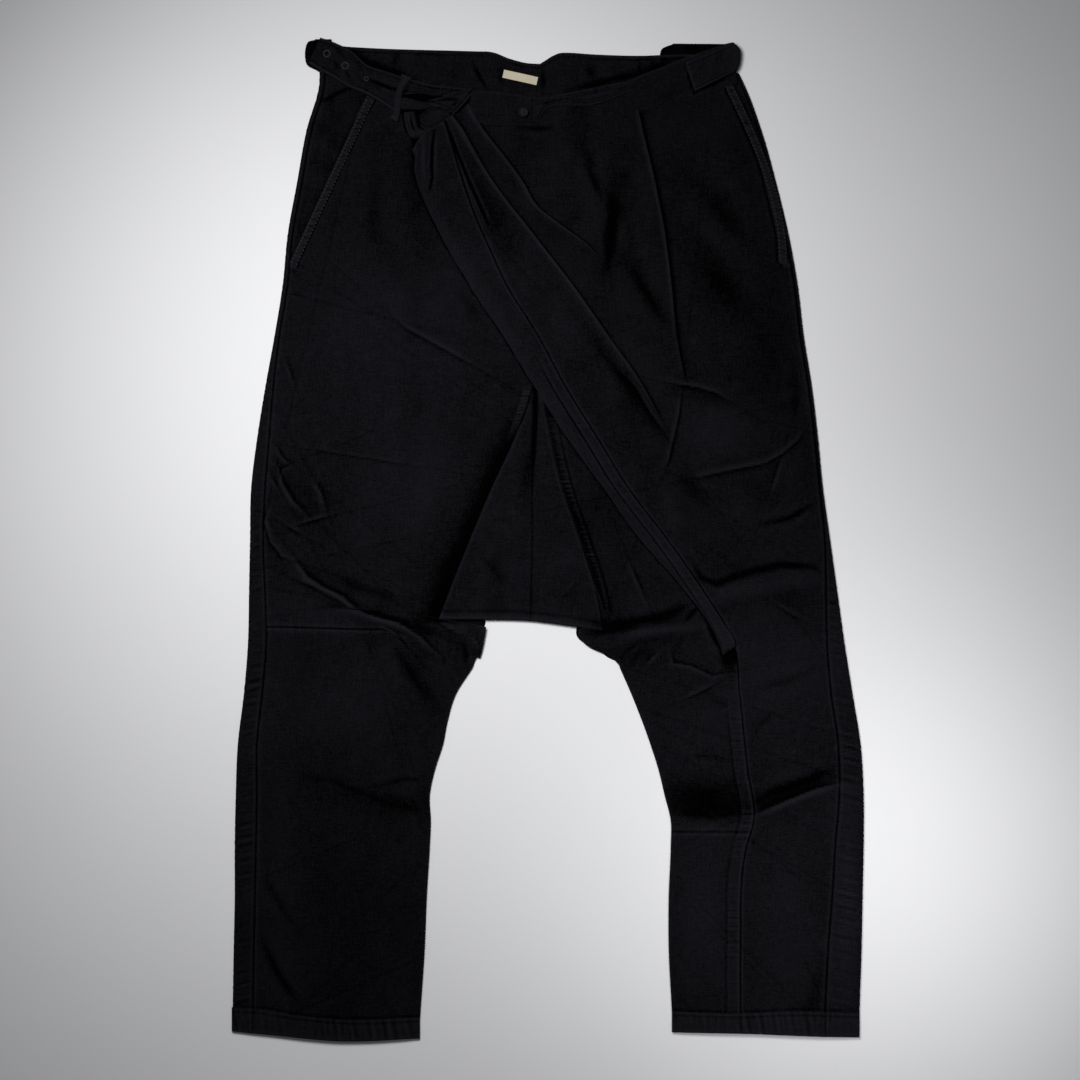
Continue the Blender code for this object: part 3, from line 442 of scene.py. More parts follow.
def cloth(name, grid, finish, replaces=(), closed=False, lowest=0.1):
    """A smooth sheet through grids of x, y, z in millimetres, and sometimes of rubbing with painted light
    and shade.
    """
    x, y, z, *added_wear_and_shade = np.broadcast_arrays(*grid)
    z = np.maximum(z, lowest)
    rows, columns = z.shape
    index = np.arange(rows * columns).reshape(rows, columns)
    if closed:
        index = np.concatenate([index, index[:, :1]], axis=1)
    faces = np.stack([index[1:, :-1], index[1:, 1:], index[:-1, 1:], index[:-1, :-1]], axis=-1)
    mesh = bpy.data.meshes.new(name)
    points = np.stack([x, y, z], axis=-1).reshape(-1, 3) * MM
    mesh.from_pydata(points.tolist(), [], faces.reshape(-1, 4).tolist())
    mesh.shade_smooth()
    # painted shade in the hollows and a lighter tone on what stands up, partly rubbed wear and partly
    # painted highlight; then the painted light and shade patches, the fourth grid and the creases' painted
    # shade
    fine, broad = z - blurred(z), z - blurred(z, 9)
    wear_and_shade_level = EVEN_WEAR + np.clip(fine * 0.55, -0.3, 0.35) + np.clip(broad * 0.12, -0.15, 0.15)
    wear_and_shade_level = wear_and_shade_level + painted_light_and_shade(x, y) + sum(added_wear_and_shade) + crease_shade_and_highlight(x, y) * ease(side_inset(x, y) / 16)
    wear_and_shade_level = np.clip(wear_and_shade_level, -0.35, 1.1)
    # the attribute holds the wear together with the painted light and shade
    mesh.attributes.new("wear_and_shade", "FLOAT", "POINT").data.foreach_set("value", wear_and_shade_level.ravel().astype("f"))
    return placed(name, mesh, finish, replaces)


def solid_mesh(name, points, faces):
    """A smooth mesh through points in millimetres."""
    mesh = bpy.data.meshes.new(name)
    mesh.from_pydata([Vector(p) * MM for p in points], [], faces)
    mesh.shade_smooth()
    return mesh


def placed(name, mesh, finish, replaces=()):
    """Put a mesh in the scene, riding with the garment and standing for its solids."""
    mesh.materials.append(finish)
    piece = bpy.data.objects.new(name, mesh)
    bpy.context.scene.collection.objects.link(piece)
    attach(piece, "root")
    if replaces:
        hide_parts(*replaces)
    made_pieces.append(piece)
    print(f"{name}: {len(mesh.polygons)} faces")
    return piece


def seam_shade_and_wear(distance, strength=1.0):
    """Painted shade in a seam's groove, and the ridge beside it lighter, partly rubbed and partly painted
    highlight.
    """
    distance = np.abs(distance)
    return strength * (0.26 * bell(distance - 2.2, 1.1) - 0.55 * bell(distance, 0.8))


def turned_side(grid, side, radius, tuck, steps):
    """A grid with one side rolled down over a radius, and carried on underneath by the tuck."""
    arrays = [np.array(g, float) for g in np.broadcast_arrays(*grid)]
    across, back = side in ("top", "bottom"), side in ("top", "left")
    if across:
        arrays = [a.T for a in arrays]
    if back:
        arrays = [a[:, ::-1] for a in arrays]
    x, y, z = arrays[:3]
    ex, ey, ez = x[:, -1], y[:, -1], z[:, -1]
    tx, ty = np.gradient(ex), np.gradient(ey)
    length = np.maximum(np.hypot(tx, ty), 1e-6)
    nx, ny = ty / length, -tx / length
    outward = np.sign((ex - x[:, -2]) * nx + (ey - y[:, -2]) * ny)
    nx, ny = nx * outward, ny * outward
    full = math.pi if tuck else math.pi / 2
    new = []
    for k in range(1, steps + 1):
        angle = full * k / steps
        new.append((ex + nx * radius * math.sin(angle), ey + ny * radius * math.sin(angle),
                    ez - radius * (1 - math.cos(angle))))
    for share in (0.4, 1.0) if tuck else ():
        new.append((ex - nx * tuck * share, ey - ny * tuck * share, ez - 2 * radius))
    rolled = [np.concatenate([a] + [p[k][:, None] for p in new], axis=1)
              for k, a in enumerate(arrays[:3])]
    rolled += [np.concatenate([a] + [a[:, -1:]] * len(new), axis=1) for a in arrays[3:]]
    if back:
        rolled = [a[:, ::-1] for a in rolled]
    if across:
        rolled = [a.T for a in rolled]
    return tuple(rolled)


def turned(grid, sides, radius, tuck=0.0, steps=5):
    """A grid with its named sides rolled down, one after another."""
    for side in sides.split():
        grid = turned_side(grid, side, radius, tuck, steps)
    return grid


def stations(high, low, step=2.2):
    """Even heights down the garment, as a column."""
    return np.linspace(high, low, max(2, round((high - low) / step)) + 1)[:, None]


def spread(count, crowd=0.0):
    """Fractions from 0 to 1; crowd packs them towards both ends."""
    t = np.linspace(0, 1, count + 1)
    return (t - crowd * np.sin(2 * math.pi * t) / (2 * math.pi))[None, :]


def dip(distance, depth=0.8, width=1.1):
    """The groove beside a seam."""
    return -0.55 * depth * bell(distance, width)


def felled(gap, width, foot=2.0, head=1.2):
    """1 on the band of a felled seam, from its edge to its width, with soft sides."""
    return ease(gap / head) * ease((width - gap) / foot)


# %% [markdown]
# The cloth is a heavy black cotton with a brushed face. Its colour is nearly black with a cool
# cast, lighter where it has rubbed on ridges and seam edges. Light and shade are painted into it
# as well: painted highlights on ridges and folds, painted shade in hollows, creases and seams.
# The material reads the wear and the painted light and shade from each mesh, and adds the
# fuzz, the slubs of its yarns and a few specks of lint.

# %% Shader maths as expressions
class Shade:
    """An output socket. + - and * on it add Math nodes, from either side."""

    def __init__(self, tree, socket=None):
        self.tree, self.socket = tree, socket

    def node(self, kind, settings=(), sockets=(), output=0):
        """Add a node: settings first, then the values or links of its sockets."""
        made = self.tree.nodes.new("ShaderNode" + kind)
        for key, value in dict(settings).items():
            setattr(made, key, value)
        for key, value in dict(sockets).items():
            if isinstance(value, Shade):
                self.tree.links.new(value.socket, made.inputs[key])
            else:
                made.inputs[key].default_value = value
        return Shade(self.tree, made.outputs[output])

    def noise(self, place, scale, detail, roughness=0.5):
        """Noise at a place, with this many lumps to a metre."""
        return self.node("TexNoise", {}, {"Vector": place, "Scale": scale, "Detail": detail,
                                          "Roughness": roughness})

    def maths(self, operation, first, second):
        return self.node("Math", {"operation": operation}, {0: first, 1: second})

    def __add__(self, other):
        return self.maths("ADD", self, other)

    def __sub__(self, other):
        return self.maths("SUBTRACT", self, other)

    def __rsub__(self, other):
        return self.maths("SUBTRACT", other, self)

    def __mul__(self, other):
        return self.maths("MULTIPLY", self, other)

    def clamped(self, low, high):
        """This value moved from low..high to 0..1 and held there."""
        return self.node("MapRange", {}, {"Value": self, "From Min": low, "From Max": high})

    __radd__, __rmul__ = __add__, __mul__


def new_material(name):
    """An empty material, its Principled shader and a Shade to build from."""
    material = bpy.data.materials.new(name)
    material.use_nodes = True
    return material, material.node_tree.nodes["Principled BSDF"], Shade(material.node_tree)


def feed(shader, graph, **links):
    """Link values that change over the surface to the shader."""
    for key, value in links.items():
        graph.tree.links.new(value.socket, shader.inputs[key.replace("_", " ")])


def tint(graph, factor, first, second):
    """One colour running into another."""
    return graph.node("Mix", {"data_type": "RGBA"}, {0: factor, 6: first, 7: second}, output=2)


# %% Black brushed cotton
def brushed_cotton(name, deep_and_shaded, worn):
    """Brushed cotton between its dark dyed colour and the colour of its rubbed ridges.

    Painted light and shade move it between the two as well.
    """
    material, shader, graph = new_material(name)
    place = graph.node("TexCoord", output=3)
    wear_and_shade = graph.node("Attribute", {"attribute_name": "wear_and_shade"}, output=2)
    cloudy = graph.noise(place, 14.0, 5.0, 0.65)
    fuzz = graph.noise(place, 700.0, 3.0, 0.7)
    warp = graph.node("Mapping", {}, {"Vector": place, "Scale": (1400.0, 90.0, 1400.0)})
    weft = graph.node("Mapping", {}, {"Vector": place, "Scale": (90.0, 1400.0, 1400.0)})
    slubs = graph.noise(warp, 1.0, 2.0) + graph.noise(weft, 1.0, 2.0)
    # the mesh's wear with its painted light and shade, plus cloudy tone, slubs and fuzz
    rubbed = wear_and_shade + (cloudy - 0.5) * 0.4 + (slubs - 1.0) * 0.62 + (fuzz - 0.5) * 1.35
    colour = tint(graph, rubbed.clamped(-0.1, 1.0), (*deep_and_shaded, 1), (*worn, 1))
    spots = graph.node("TexVoronoi", {}, {"Vector": place, "Scale": 34.0})
    lint = (1 - spots.clamped(0.0, 0.022)) * cloudy.clamped(0.55, 0.6)
    colour = tint(graph, lint * 0.35, colour, (0.12, 0.115, 0.115, 1))
    height = fuzz * 0.6 + slubs * 0.5
    bump = graph.node("Bump", {}, {"Strength": 0.55, "Distance": 0.0005, "Height": height})
    feed(shader, graph, Base_Color=colour, Roughness=0.95 - rubbed.clamped(0.0, 1.4) * 0.16, Normal=bump)
    shader.inputs["Specular IOR Level"].default_value = 0.01
    return material


BLACK_COTTON = brushed_cotton("black brushed cotton", (0.0002, 0.0002, 0.0002), (0.0110, 0.0108, 0.0140))
print("material", BLACK_COTTON.name)

# %% [markdown]
# Each back panel is one sheet. It starts at the outseam on the front, rolls round the side
# fold and runs along the floor to the centre back. The strip that shows on the front is a
# felled seam: two rows of stitches draw it into short crosswise puckers.

# %% Back panels, wrapped round the sides
SIDE_RADIUS = 1.6
BACK_END = Chart(
    "y right left",
    (-460, -137, 133), (-350, -131, 130), (-275, -127, 132), (-225, -123, 120), (-175, -110, 103),
    (-150, -102, 93), (-124, -86, 82), (-116, -84, 60), (-110, -69, 52), (-98, -66, 31), (-80, -61, 28),
    (-67, -57, 26), (-63, -8.2, -7.8), (0, -8.2, -7.8), (450, -8.2, -7.8),
)


# creases on the side that lies on the floor: lift, width, lean, points
HIDDEN_CREASES = (
    (1.2, 9, 1, ((-190, 300), (-150, 262), (-105, 240))),
    (0.9, 8, -1, ((60, 285), (110, 262), (165, 250))),
    (1.4, 10, -1, ((-240, -20), (-195, -48), (-130, -66))),
    (1.2, 9, 1, ((95, -60), (160, -52), (235, -70))),
    (1.3, 10, 1, ((-250, -240), (-205, -252), (-140, -240))),
    (1.1, 9, -1, ((165, -232), (220, -250), (270, -262))), (0.8, 7, 1, ((-235, -395), (-205, -425))),
    (0.8, 12, 0, ((-120, 120), (-90, 40))), (0.8, 12, 0, ((90, 150), (70, 60))),
)


def hidden_relief(x, y, hinge):
    """The soft creases of the side that lies on the floor."""
    total = 0.3 * (1 + ripple(x, y, BROAD))
    for row in HIDDEN_CREASES:
        total = total + crease(x, y, *row)
    return np.clip(total, 0, 2.2) * ease(np.abs(x - hinge) / 14)


def rolled_under(x, y, z, edge, inner, w=0.0, count=12):
    """A layer carried round a side fold at its last column, then along the floor to an inner line."""
    hinge, crown = x[:, -1:], z[:, -1:]
    arc_x = hinge + (edge - hinge) * np.sin(HALF_TURN)
    arc_z = (crown + FLOOR_GAP) / 2 + (crown - FLOOR_GAP) / 2 * np.cos(HALF_TURN)
    under_x = hinge + (inner - hinge) * spread(count)[:, 1:]
    under_y = y[:, -1:] + 0 * under_x
    new_x = np.concatenate([x, arc_x, under_x], axis=1)
    new_y = np.concatenate([y + 0 * x, y[:, -1:] + 0 * arc_x, under_y], axis=1)
    new_z = np.concatenate([z, arc_z, FLOOR_GAP + hidden_relief(under_x, under_y, hinge)], axis=1)
    new_w = np.concatenate([w + 0 * x, 0.08 + 0 * arc_x, 0 * under_x], axis=1)
    return new_x, new_y, new_z, new_w


def wrapped_back(side, top_y):
    """One back panel from its outseam, round the fold, to its inner edge on the floor."""
    sign = -1 if side == "right" else 1
    y = stations(top_y, PANEL_FOOT)
    seam_x, fold_x = OUTLINE(f"{side}_outseam", y), OUTLINE(f"{side}_edge", y)
    hinge = fold_x - sign * SIDE_RADIUS
    x = seam_x + (hinge - seam_x) * spread(16)
    on_band = np.abs(x - seam_x)
    share = on_band / np.maximum(np.abs(hinge - seam_x), 1)
    gather = pucker(y + 0.25 * on_band, 1.0 if side == "right" else 2.5)
    swell = np.sin(math.pi * np.clip(share, 0, 1)) ** 0.7
    z = front_top(x, y) + 0.1 + swell * (0.35 + 0.34 * gather * ease((on_band - 1) / 4)) + dip(on_band)
    # painted shade in the seam's groove, and painted light and shade following the puckers
    w = seam_shade_and_wear(on_band, 0.8) + (0.08 + 0.2 * ease(-y / 120)) * gather * swell
    grid = rolled_under(x, y, z, fold_x + sign * 0.25 * gather[:, -1:], BACK_END(side, y), w, 44)
    return cloth(f"cloth_back_{side}", grid, BLACK_COTTON, [f"back_{side}", f"outseam_fell_{side}"])


wrapped_back("right", 458.5)
wrapped_back("left", 457)

# %% [markdown]
# The right front hangs from the strap to a seam at the knee. Below it the lower front rolls
# round the inner leg. Beside the gusset and under the wrap's edge it sinks into a hollow.

# %% What the panels share: knee seam, pocket edges and shade
def knee_fall(x):
    """How far the knee seam has fallen below its level end."""
    return -2.5 * ease((x + 276) / 110) - 27.5 * np.clip((x + 163) / 96.5, 0, 1)


def knee_flat(x):
    """1 where the knee seam lies flat, fading to where its fold hides it."""
    return ease((-150 - x) / 22)


def pocket_edge(z, w, gap, shown, width, lift, gathers, groove, ticks, rim):
    """A turned and twin-stitched pocket edge, lighter where rubbed. A groove is a depth, a width and
    a painted shade beside the edge; ticks paint light and shade along the puckers.
    """
    band = shown * felled(gap, width, 1.2)
    depth, wide, shade = groove
    beyond = bell(gap - width - 0.6, wide) * shown
    z = z + band * (lift + 0.35 * gathers) - depth * beyond
    return z, w + (0.27 + ticks) * band - shade * beyond + rim * bell(gap - 0.4, 1.1) * shown


def sunk_and_shaded_by_fold(x, y, z, w, share, depth, reach):
    """Cloth pressed down close to the wrap's fold, and painted darker there for the shade that the fold
    throws.
    """
    gap = np.maximum(WRAP("fold", y) - x, 0)
    deep_and_shaded = np.exp(-np.maximum(gap - 1.5, 0) / 1.7)
    return z - depth * np.exp(-gap / reach) * share, w - 0.75 * deep_and_shaded * share


# %% Right front, upper and lower
def right_upper():
    """The right front above the knee seam."""
    level = stations(RIGHT_TOP, KNEE, 1.6)
    falling = ease((-45 - level) / 40)
    outseam = OUTLINE("right_outseam", level)
    left = np.where(level > POCKET_FOOT, np.maximum(pocket_line("right", level), outseam), outseam)
    under_wrap = WRAP("fold", level) + 14 * ease((level - 150) / 60)
    at_gusset = settled(GUSSET("left_edge", level),
                        lambda at: GUSSET("left_edge", level + knee_fall(at) * falling) + 0.6)
    below_gusset = np.interp(level, (KNEE, -67), (-66.5, -60.5))
    right = np.where(level > GUSSET_HEAD, np.minimum(under_wrap, np.where(level > 400, -139, 300)),
                     np.where(level > -67, at_gusset, below_gusset))
    x = left + (right - left) * spread(120, 0.4)
    y = level + knee_fall(x) * falling
    y = y + strap_rise(x, level)
    inward, on_knee, flat = x - left, y - KNEE - knee_fall(x), knee_flat(x)
    has_seam, has_pocket = level < POCKET_FOOT, level > POCKET_FOOT - 4
    z = right_top(x, y) + dip(inward, 0.6) * has_seam + dip(on_knee, 0.9) * flat
    z = z + 0.3 * pucker(x, 3.0) * bell(on_knee - 3, 3)
    z = z + 0.2 * pucker(y, 5.0) * bell(inward - 3, 3) * has_seam
    w = seam_shade_and_wear(inward, 0.8) * has_seam + seam_shade_and_wear(on_knee) * flat
    z, w = pocket_edge(z, w, inward, has_pocket, 7.6, 0.5, pucker(y, 0.4), (0.7, 0.9, 0.25),
                       0.6 * pucker(1.45 * y, 0.4), 0.3)
    # the hollow beside the gusset, painted darker for its shade with a painted dark line at the
    # gusset's edge, and the felled seam that runs down into it, with light and shade painted on its puckers
    to_gusset = np.maximum(GUSSET("left_edge", y) - x, 0)
    hollow = ease((140 - y) / 60) * ease((y + 83) / 9)
    fell = felled(to_gusset, 9, 1.5, 1.5) * ease((152 - y) / 8) * ease((y - 92) / 16)
    gathers = pucker(2 * y, 1.3)
    z = z - 3.0 * np.exp(-to_gusset / 6.5) * hollow + fell * (0.5 + 0.4 * gathers)
    w = w - (0.62 * bell(to_gusset, 15.0) + 0.15 * bell(to_gusset, 26.0)) * hollow
    w = w + fell * (0.2 + 0.4 * gathers) - 0.3 * bell(to_gusset, 1.2) * (y < 152) * (y > -80)
    z, w = sunk_and_shaded_by_fold(x, y, z, w, ease((y - 140) / 20), 1.6, 2.4)
    grid = turned((x, y, z, w), "left", 0.9)
    grid = turned(grid, "bottom", 0.8)
    return cloth("cloth_front_right_upper", grid, BLACK_COTTON, ["front_right_upper", "pocket_edge_right"])


def right_lower():
    """The right front below the knee, rolled round the inner leg and under it."""
    level = stations(KNEE, PANEL_FOOT, 1.7)
    falling = 1 - ease((KNEE - level) / 45)
    left = OUTLINE("right_outseam", level) + 0.3
    edge = LEGS("right_inner", level - 30 * falling)
    x = left + (edge - SIDE_RADIUS - left) * spread(90, 0.2)
    y = level + knee_fall(x) * falling
    inward, on_knee, flat = x - left, y - KNEE - knee_fall(x), knee_flat(x)
    z = front_top(x, y) + dip(inward, 0.9) + dip(on_knee, 0.9) * flat
    z = z + 0.3 * pucker(x, 3.0) * bell(on_knee + 3, 3) + 0.2 * pucker(y, 5.0) * bell(inward - 3, 3)
    w = seam_shade_and_wear(inward, 0.6) + seam_shade_and_wear(on_knee) * flat
    w = w + 0.35 * bell(inward - 0.9, 0.8) * ease((-150 - y) / 60)
    grid = rolled_under(x, y, z, edge, edge - 13, w, 3)
    grid = turned(grid, "top", 0.8)
    return cloth("cloth_front_right_lower", grid, BLACK_COTTON, ["front_right_lower"])


right_upper()
right_lower()

# %% [markdown]
# The left front is the wrap. It runs from the waist to the left hem in one piece. Knife
# pleats fan out from the strap's end. Each is a real fold of three layers: the cloth comes
# from the left, turns under at the pleat's edge and back again. Grid lines run along them.

# %% Left front with its knife pleats
PLEATS = (
    # its line, height, how fast it falls away to the left, Y where it starts, Y where it is whole
    ("pleat_one", 2.9, 12, 95, 175),
    ("pleat_two", 2.2, 10, 268, 318),
    ("press", 0.9, 5, 140, 190),
)
FOLD_SHAPE = np.array((     # millimetres past the edge, share of the height
    (-2.0, 1.0), (-0.9, 1.03), (0.1, 0.97), (0.8, 0.84), (1.0, 0.68), (0.4, 0.54), (-0.7, 0.47),
    (-1.9, 0.42), (-2.8, 0.34), (-3.0, 0.22), (-2.5, 0.1), (-1.3, 0.02), (0.2, -0.04), (1.6, 0.0)))
FLAT_SHAPE = np.linspace(-2.0, 1.6, len(FOLD_SHAPE))[None]     # the same points, spread flat
VALLEY = ((-99, 408), (-94.2, 393.7), (-89.4, 379.5), (-83.5, 365.3), (-77.6, 351), (-71.7, 338),
          (-65.8, 325), (-58.8, 308.5))


def waist_rise(x):
    """How far the front's waist edge stands above the first row of the wrap panel."""
    return FRONT_WAIST("edge", x) - WAIST


def pleat_rows(level, start, side, line):
    """X, lift, and painted light and shade across the panel: each flat run, then the fold that ends it."""
    across, rises, pleat_light_and_shade, shaded = [], [], [], 0
    for (name, height, falls, begin, whole), count in zip(PLEATS, (36, 26, 34)):
        edge = line(name)
        fold = ease((level - begin) / (whole - begin))
        offset, share = FOLD_SHAPE[:, 0][None], FOLD_SHAPE[:, 1][None]
        if name == "press":
            fold = fold * ease((396 - level) / 16)
            offset, share = FLAT_SHAPE, ease((0.6 - FLAT_SHAPE) / 1.4)
        over = edge + FLAT_SHAPE + (offset - FLAT_SHAPE) * fold
        run = start + (edge - 2.0 - start) * spread(count, 0.5)[:, :-1]
        shading = 0.35 + 0.65 * ease((level - 190) / 60)
        across += [run, over]
        rises += [height * fold * np.exp((run - edge + 2) / falls), height * fold * share]
        # painted highlight along each pleat's top edge and painted shadow on the run after a fold; the
        # fold's top layer lighter and its tucked layers painted in shade
        pleat_light_and_shade += [0.3 * shading * fold * bell(run - edge + 2, 1.8) - 0.55 * shaded * np.exp(-(run - start) / 1.3),
                 fold * (0.34 * shading * (share > 0.85) - 0.7 * (share < 0.6))]
        start, shaded = edge + 1.6, fold
    last = start + (side - start) * spread(64, 0.3)[:, 1:]
    across, rises = across + [last], rises + [0 * last]
    # painted shadow on the cloth beside the press line
    pleat_light_and_shade += [-0.45 * np.exp(-(last - start) / 2.0) * ease((level - 150) / 40)]
    pleat_light_and_shade = [shading + 0 * run for shading, run in zip(pleat_light_and_shade, across)]
    return (np.concatenate(arrays, axis=1) for arrays in (across, rises, pleat_light_and_shade))


def left_front():
    """The wrap panel, from the waist to the left hem."""
    level = stations(WAIST, PANEL_FOOT, 2.05)
    rising = ease((level - 330) / 79)

    def side_at(y):
        outseam = OUTLINE("left_outseam", y) - 0.3
        opening = np.minimum(outseam, pocket_line("left", np.minimum(y, 447)))
        return np.where(y > POCKET_FOOT, opening, outseam)

    def line(name):
        return settled(WRAP(name, level), lambda at: WRAP(name, level + waist_rise(at) * rising))

    side = settled(side_at(level), lambda at: side_at(level + waist_rise(at) * rising), 5)
    x, rise, w = pleat_rows(level, line("seam"), side, line)
    y = level + waist_rise(x) * rising
    from_seam = np.maximum(0, x - line("seam"))
    lift = rise + (0.3 + 1.6 * ease((y + 150) / 120)) * np.exp(-from_seam / 30)
    groove, banks = crease(x, y, 1.0, 1.5, 0, VALLEY), crease(x, y, 1.0, 3.4, 0, VALLEY)
    lift = lift - 2.6 * groove + 0.5 * banks
    z = front_top(x, y) + lift * ease(side_inset(x, y) / 20) + pocket_step(pocket_line("left", y) - x, y)
    to_side, has_seam = side - x, level < POCKET_FOOT
    z = z + dip(from_seam, 0.7) + dip(to_side, 0.9) * has_seam
    z = z + 0.2 * pucker(y, 6.0) * bell(to_side - 3, 3) * has_seam
    # painted shade in the valley and painted highlight on its banks
    w = w - 0.95 * groove + 0.24 * banks + seam_shade_and_wear(from_seam) + seam_shade_and_wear(to_side, 0.8) * has_seam
    z, w = pocket_edge(z, w, to_side, level > POCKET_FOOT - 4, 8.6, 0.45, pucker(y, 0.9), (0.6, 1.0, 0.2),
                       0.55 * pucker(1.3 * y, 2.0), 0.25)
    grid = turned((x, y, z, w), "right", 0.9)
    grid = turned(grid, "left", 0.8)
    return cloth("cloth_front_left", grid, BLACK_COTTON, ["front_left", "pocket_edge_left"])


left_front()

# %% [markdown]
# The wrap's own edge is a double fold that stands on the right front. It rolls over at its
# free side. Beside its seam runs a felled band, puckered like the outseams.

# %% The standing fold of the wrap
FOLD_VALLEY = ((-111, 402), (-113.1, 384.2), (-113.7, 364), (-113.1, 355.8), (-115.5, 342))
FOLD_RIDGE = ((-121, 400), (-122, 370), (-121, 345))
FOLD_FOOT = -112


def standing_fold():
    """The double fold along the wrap seam."""
    level = stations(WAIST, FOLD_FOOT)
    fold, seam = WRAP("fold", level), WRAP("seam", level)
    fold = fold + 0.35 * ripple(fold, level, FINE)
    x = fold + (seam - fold) * spread(42, 0.4)
    along_width = np.clip((x - fold) / (seam - fold), 0, 1)
    y = level - 26 * ease((level - 350) / 59) * (1 - along_width) ** 2.2
    y = y + 9.0 * ease((-80 - level) / 32) * along_width
    across, back = x - fold, seam - x
    rise = 3.2 * (1 - np.exp(-across / 2.6)) - 1.2 * ease(across / np.maximum(seam - fold, 1))
    lower = ease((200 - y) / 80)
    band = felled(back, 13)
    groove, banks = crease(x, y, 1.0, 1.4, 0, FOLD_VALLEY), crease(x, y, 1.0, 3.2, 0, FOLD_VALLEY)
    ridge = crease(x, y, 1.0, 3.2, 0, FOLD_RIDGE)
    z = right_top(x, y) + 0.35 + rise - 0.7 * bell(back, 1.0)
    z = z + lower * (band * (0.35 + 0.3 * pucker(y * 1.25, 1.9)) - 0.6 * bell(back - 13.5, 1.2))
    z = z - 2.4 * groove + 0.5 * banks + 1.2 * ridge
    # its rolled edge lighter, partly rubbed and partly painted highlight; painted shade in the valley with
    # painted highlight on its banks and ridge; lighter at the top row and painted darker at the foot
    w = 0.08 + 0.32 * bell(across - 0.5, 1.5) + seam_shade_and_wear(back) + 0.07 * bell(across - 7, 6)
    w = w - 0.95 * groove + 0.26 * banks + 0.1 * ridge + lower * (seam_shade_and_wear(back - 13.5, 0.5) + 0.08 * band)
    w = w + 0.3 * bell(WAIST - level - 1, 2.0) - 0.3 * bell(level - FOLD_FOOT, 3.0)
    grid = turned((x, y, z, w), "left", 1.3, tuck=5.0, steps=6)
    return cloth("cloth_wrap_fold", grid, BLACK_COTTON, ["wrap_fold", "wrap_seam_fell"])


standing_fold()

# %% [markdown]
# Between the wrap and the gusset lies the left leg's crotch panel, which carries on as the
# inner leg. It is one run of cloth down to a seam at the knee, and rolls round the inner leg.

# %% Crotch panel, inner leg and lower inner leg
CROTCH_LEFT = Chart(
    "y edge",
    (-125, 71), (-121, 68), (-114, 60), (-106, 42), (-100, 34), (-90, 29.5), (-86, 33), (-82, 53),
    (-66, 52), (-35, 41), (0, 30), (50, 13), (100, 1), (140, -7),
)
INNER_KNEE = -285.5
CORNER = -124       # the gusset's foot hangs free below this height


def inner_left(name, high, low, replaces):
    """Part of the inner left leg, between its inner edge and the wrap seam."""
    y = stations(high, low, 1.7)
    edge = np.where(y > CORNER, CROTCH_LEFT("edge", y), LEGS("left_inner", y))
    hinge, seam = edge + SIDE_RADIUS, WRAP("seam", y)
    x = seam + (hinge - seam) * spread(70, 0.2)
    back, on_knee = seam - x, y - INNER_KNEE + 0 * x
    # along the wrap seam, where a felled band shows below the fold, its puckers painted lighter and darker
    below, ridge = ease((-140 - y) / 60), ease((FOLD_FOOT - y) / 12)
    band, gathers = felled(back, 13.5), pucker(1.5 * y, 4.4)
    z = front_top(x, y) + dip(back, 0.8) + dip(on_knee, 0.9)
    z = z + below * (band * (0.35 + 0.25 * gathers) - 0.2 * bell(back - 14, 1.6))
    w = seam_shade_and_wear(back) * below + seam_shade_and_wear(on_knee, 1.2) + 0.3 * ridge * bell(back - 0.9, 0.9)
    w = w + below * (0.08 * band - 0.05 * bell(back - 14, 1.6) + 0.28 * band * gathers)
    z, w = sunk_and_shaded_by_fold(x, y, z, w, ease((y + 126) / 14), 1.2, 2.2)
    # beside the gusset, where it sinks into a hollow painted dark for its shade, with a felled band on
    # its bank whose puckers are painted lighter and darker
    to_gusset = np.maximum(x - GUSSET("right_edge", y), 0)
    near, deep_and_shaded = ease((y + 84) / 10) * ease((144 - y) / 20), ease((70 - y) / 60)
    band, gathers = felled(to_gusset, 11.0), pucker(2.1 * y, 5.2)
    z = z + near * (band * (0.4 + 0.45 * gathers) - 0.5 * bell(to_gusset - 11.5, 1.2)
                    - 3.0 * np.exp(-to_gusset / 5.0))
    w = w + near * (0.5 * band * gathers - 0.04 * band - 0.6 * bell(to_gusset, 4.5)
                    - 0.42 * deep_and_shaded * bell(to_gusset, 15.0))
    # above the corner the edge only tucks under itself; below it rolls round the leg
    floor_run = np.where(y > CORNER, hinge - 0.5, hinge + 13 * ease((-110 - y) / 20))
    grid = rolled_under(x, y, z, edge, floor_run, w, 3)
    tucked = z[:, -1:] - 2.4
    lifted = np.where(y > CORNER, np.maximum(grid[2], tucked), grid[2])
    grid = tuple(g[:, ::-1] for g in (grid[0], grid[1], lifted, grid[3]))
    return cloth(name, grid, BLACK_COTTON, replaces, lowest=FLOOR_GAP)


inner_left("cloth_crotch_and_inner_leg", 139, -286.8,
           ["crotch_panel_left", "inner_leg_left_upper", "gusset_fell_left"])
inner_left("cloth_inner_leg_lower", -284.6, PANEL_FOOT, ["inner_leg_left_lower", "inseam_fell_left"])

# %% [markdown]
# The gusset is a tall triangle let in between the legs. It stands up between two hollows,
# and has its own seam down the middle. Its foot is a rolled edge that hangs free.

# %% Gusset and its turned foot
GUSSET_LEVEL = -88.5    # its last row, before the foot falls to its own line
GUSSET_CREASES = (      # lean and points
    (1, ((-72, -12), (-65, -22), (-53, -36), (-50, -48))), (-1, ((8, -62), (15, -52), (29, -37))),
)


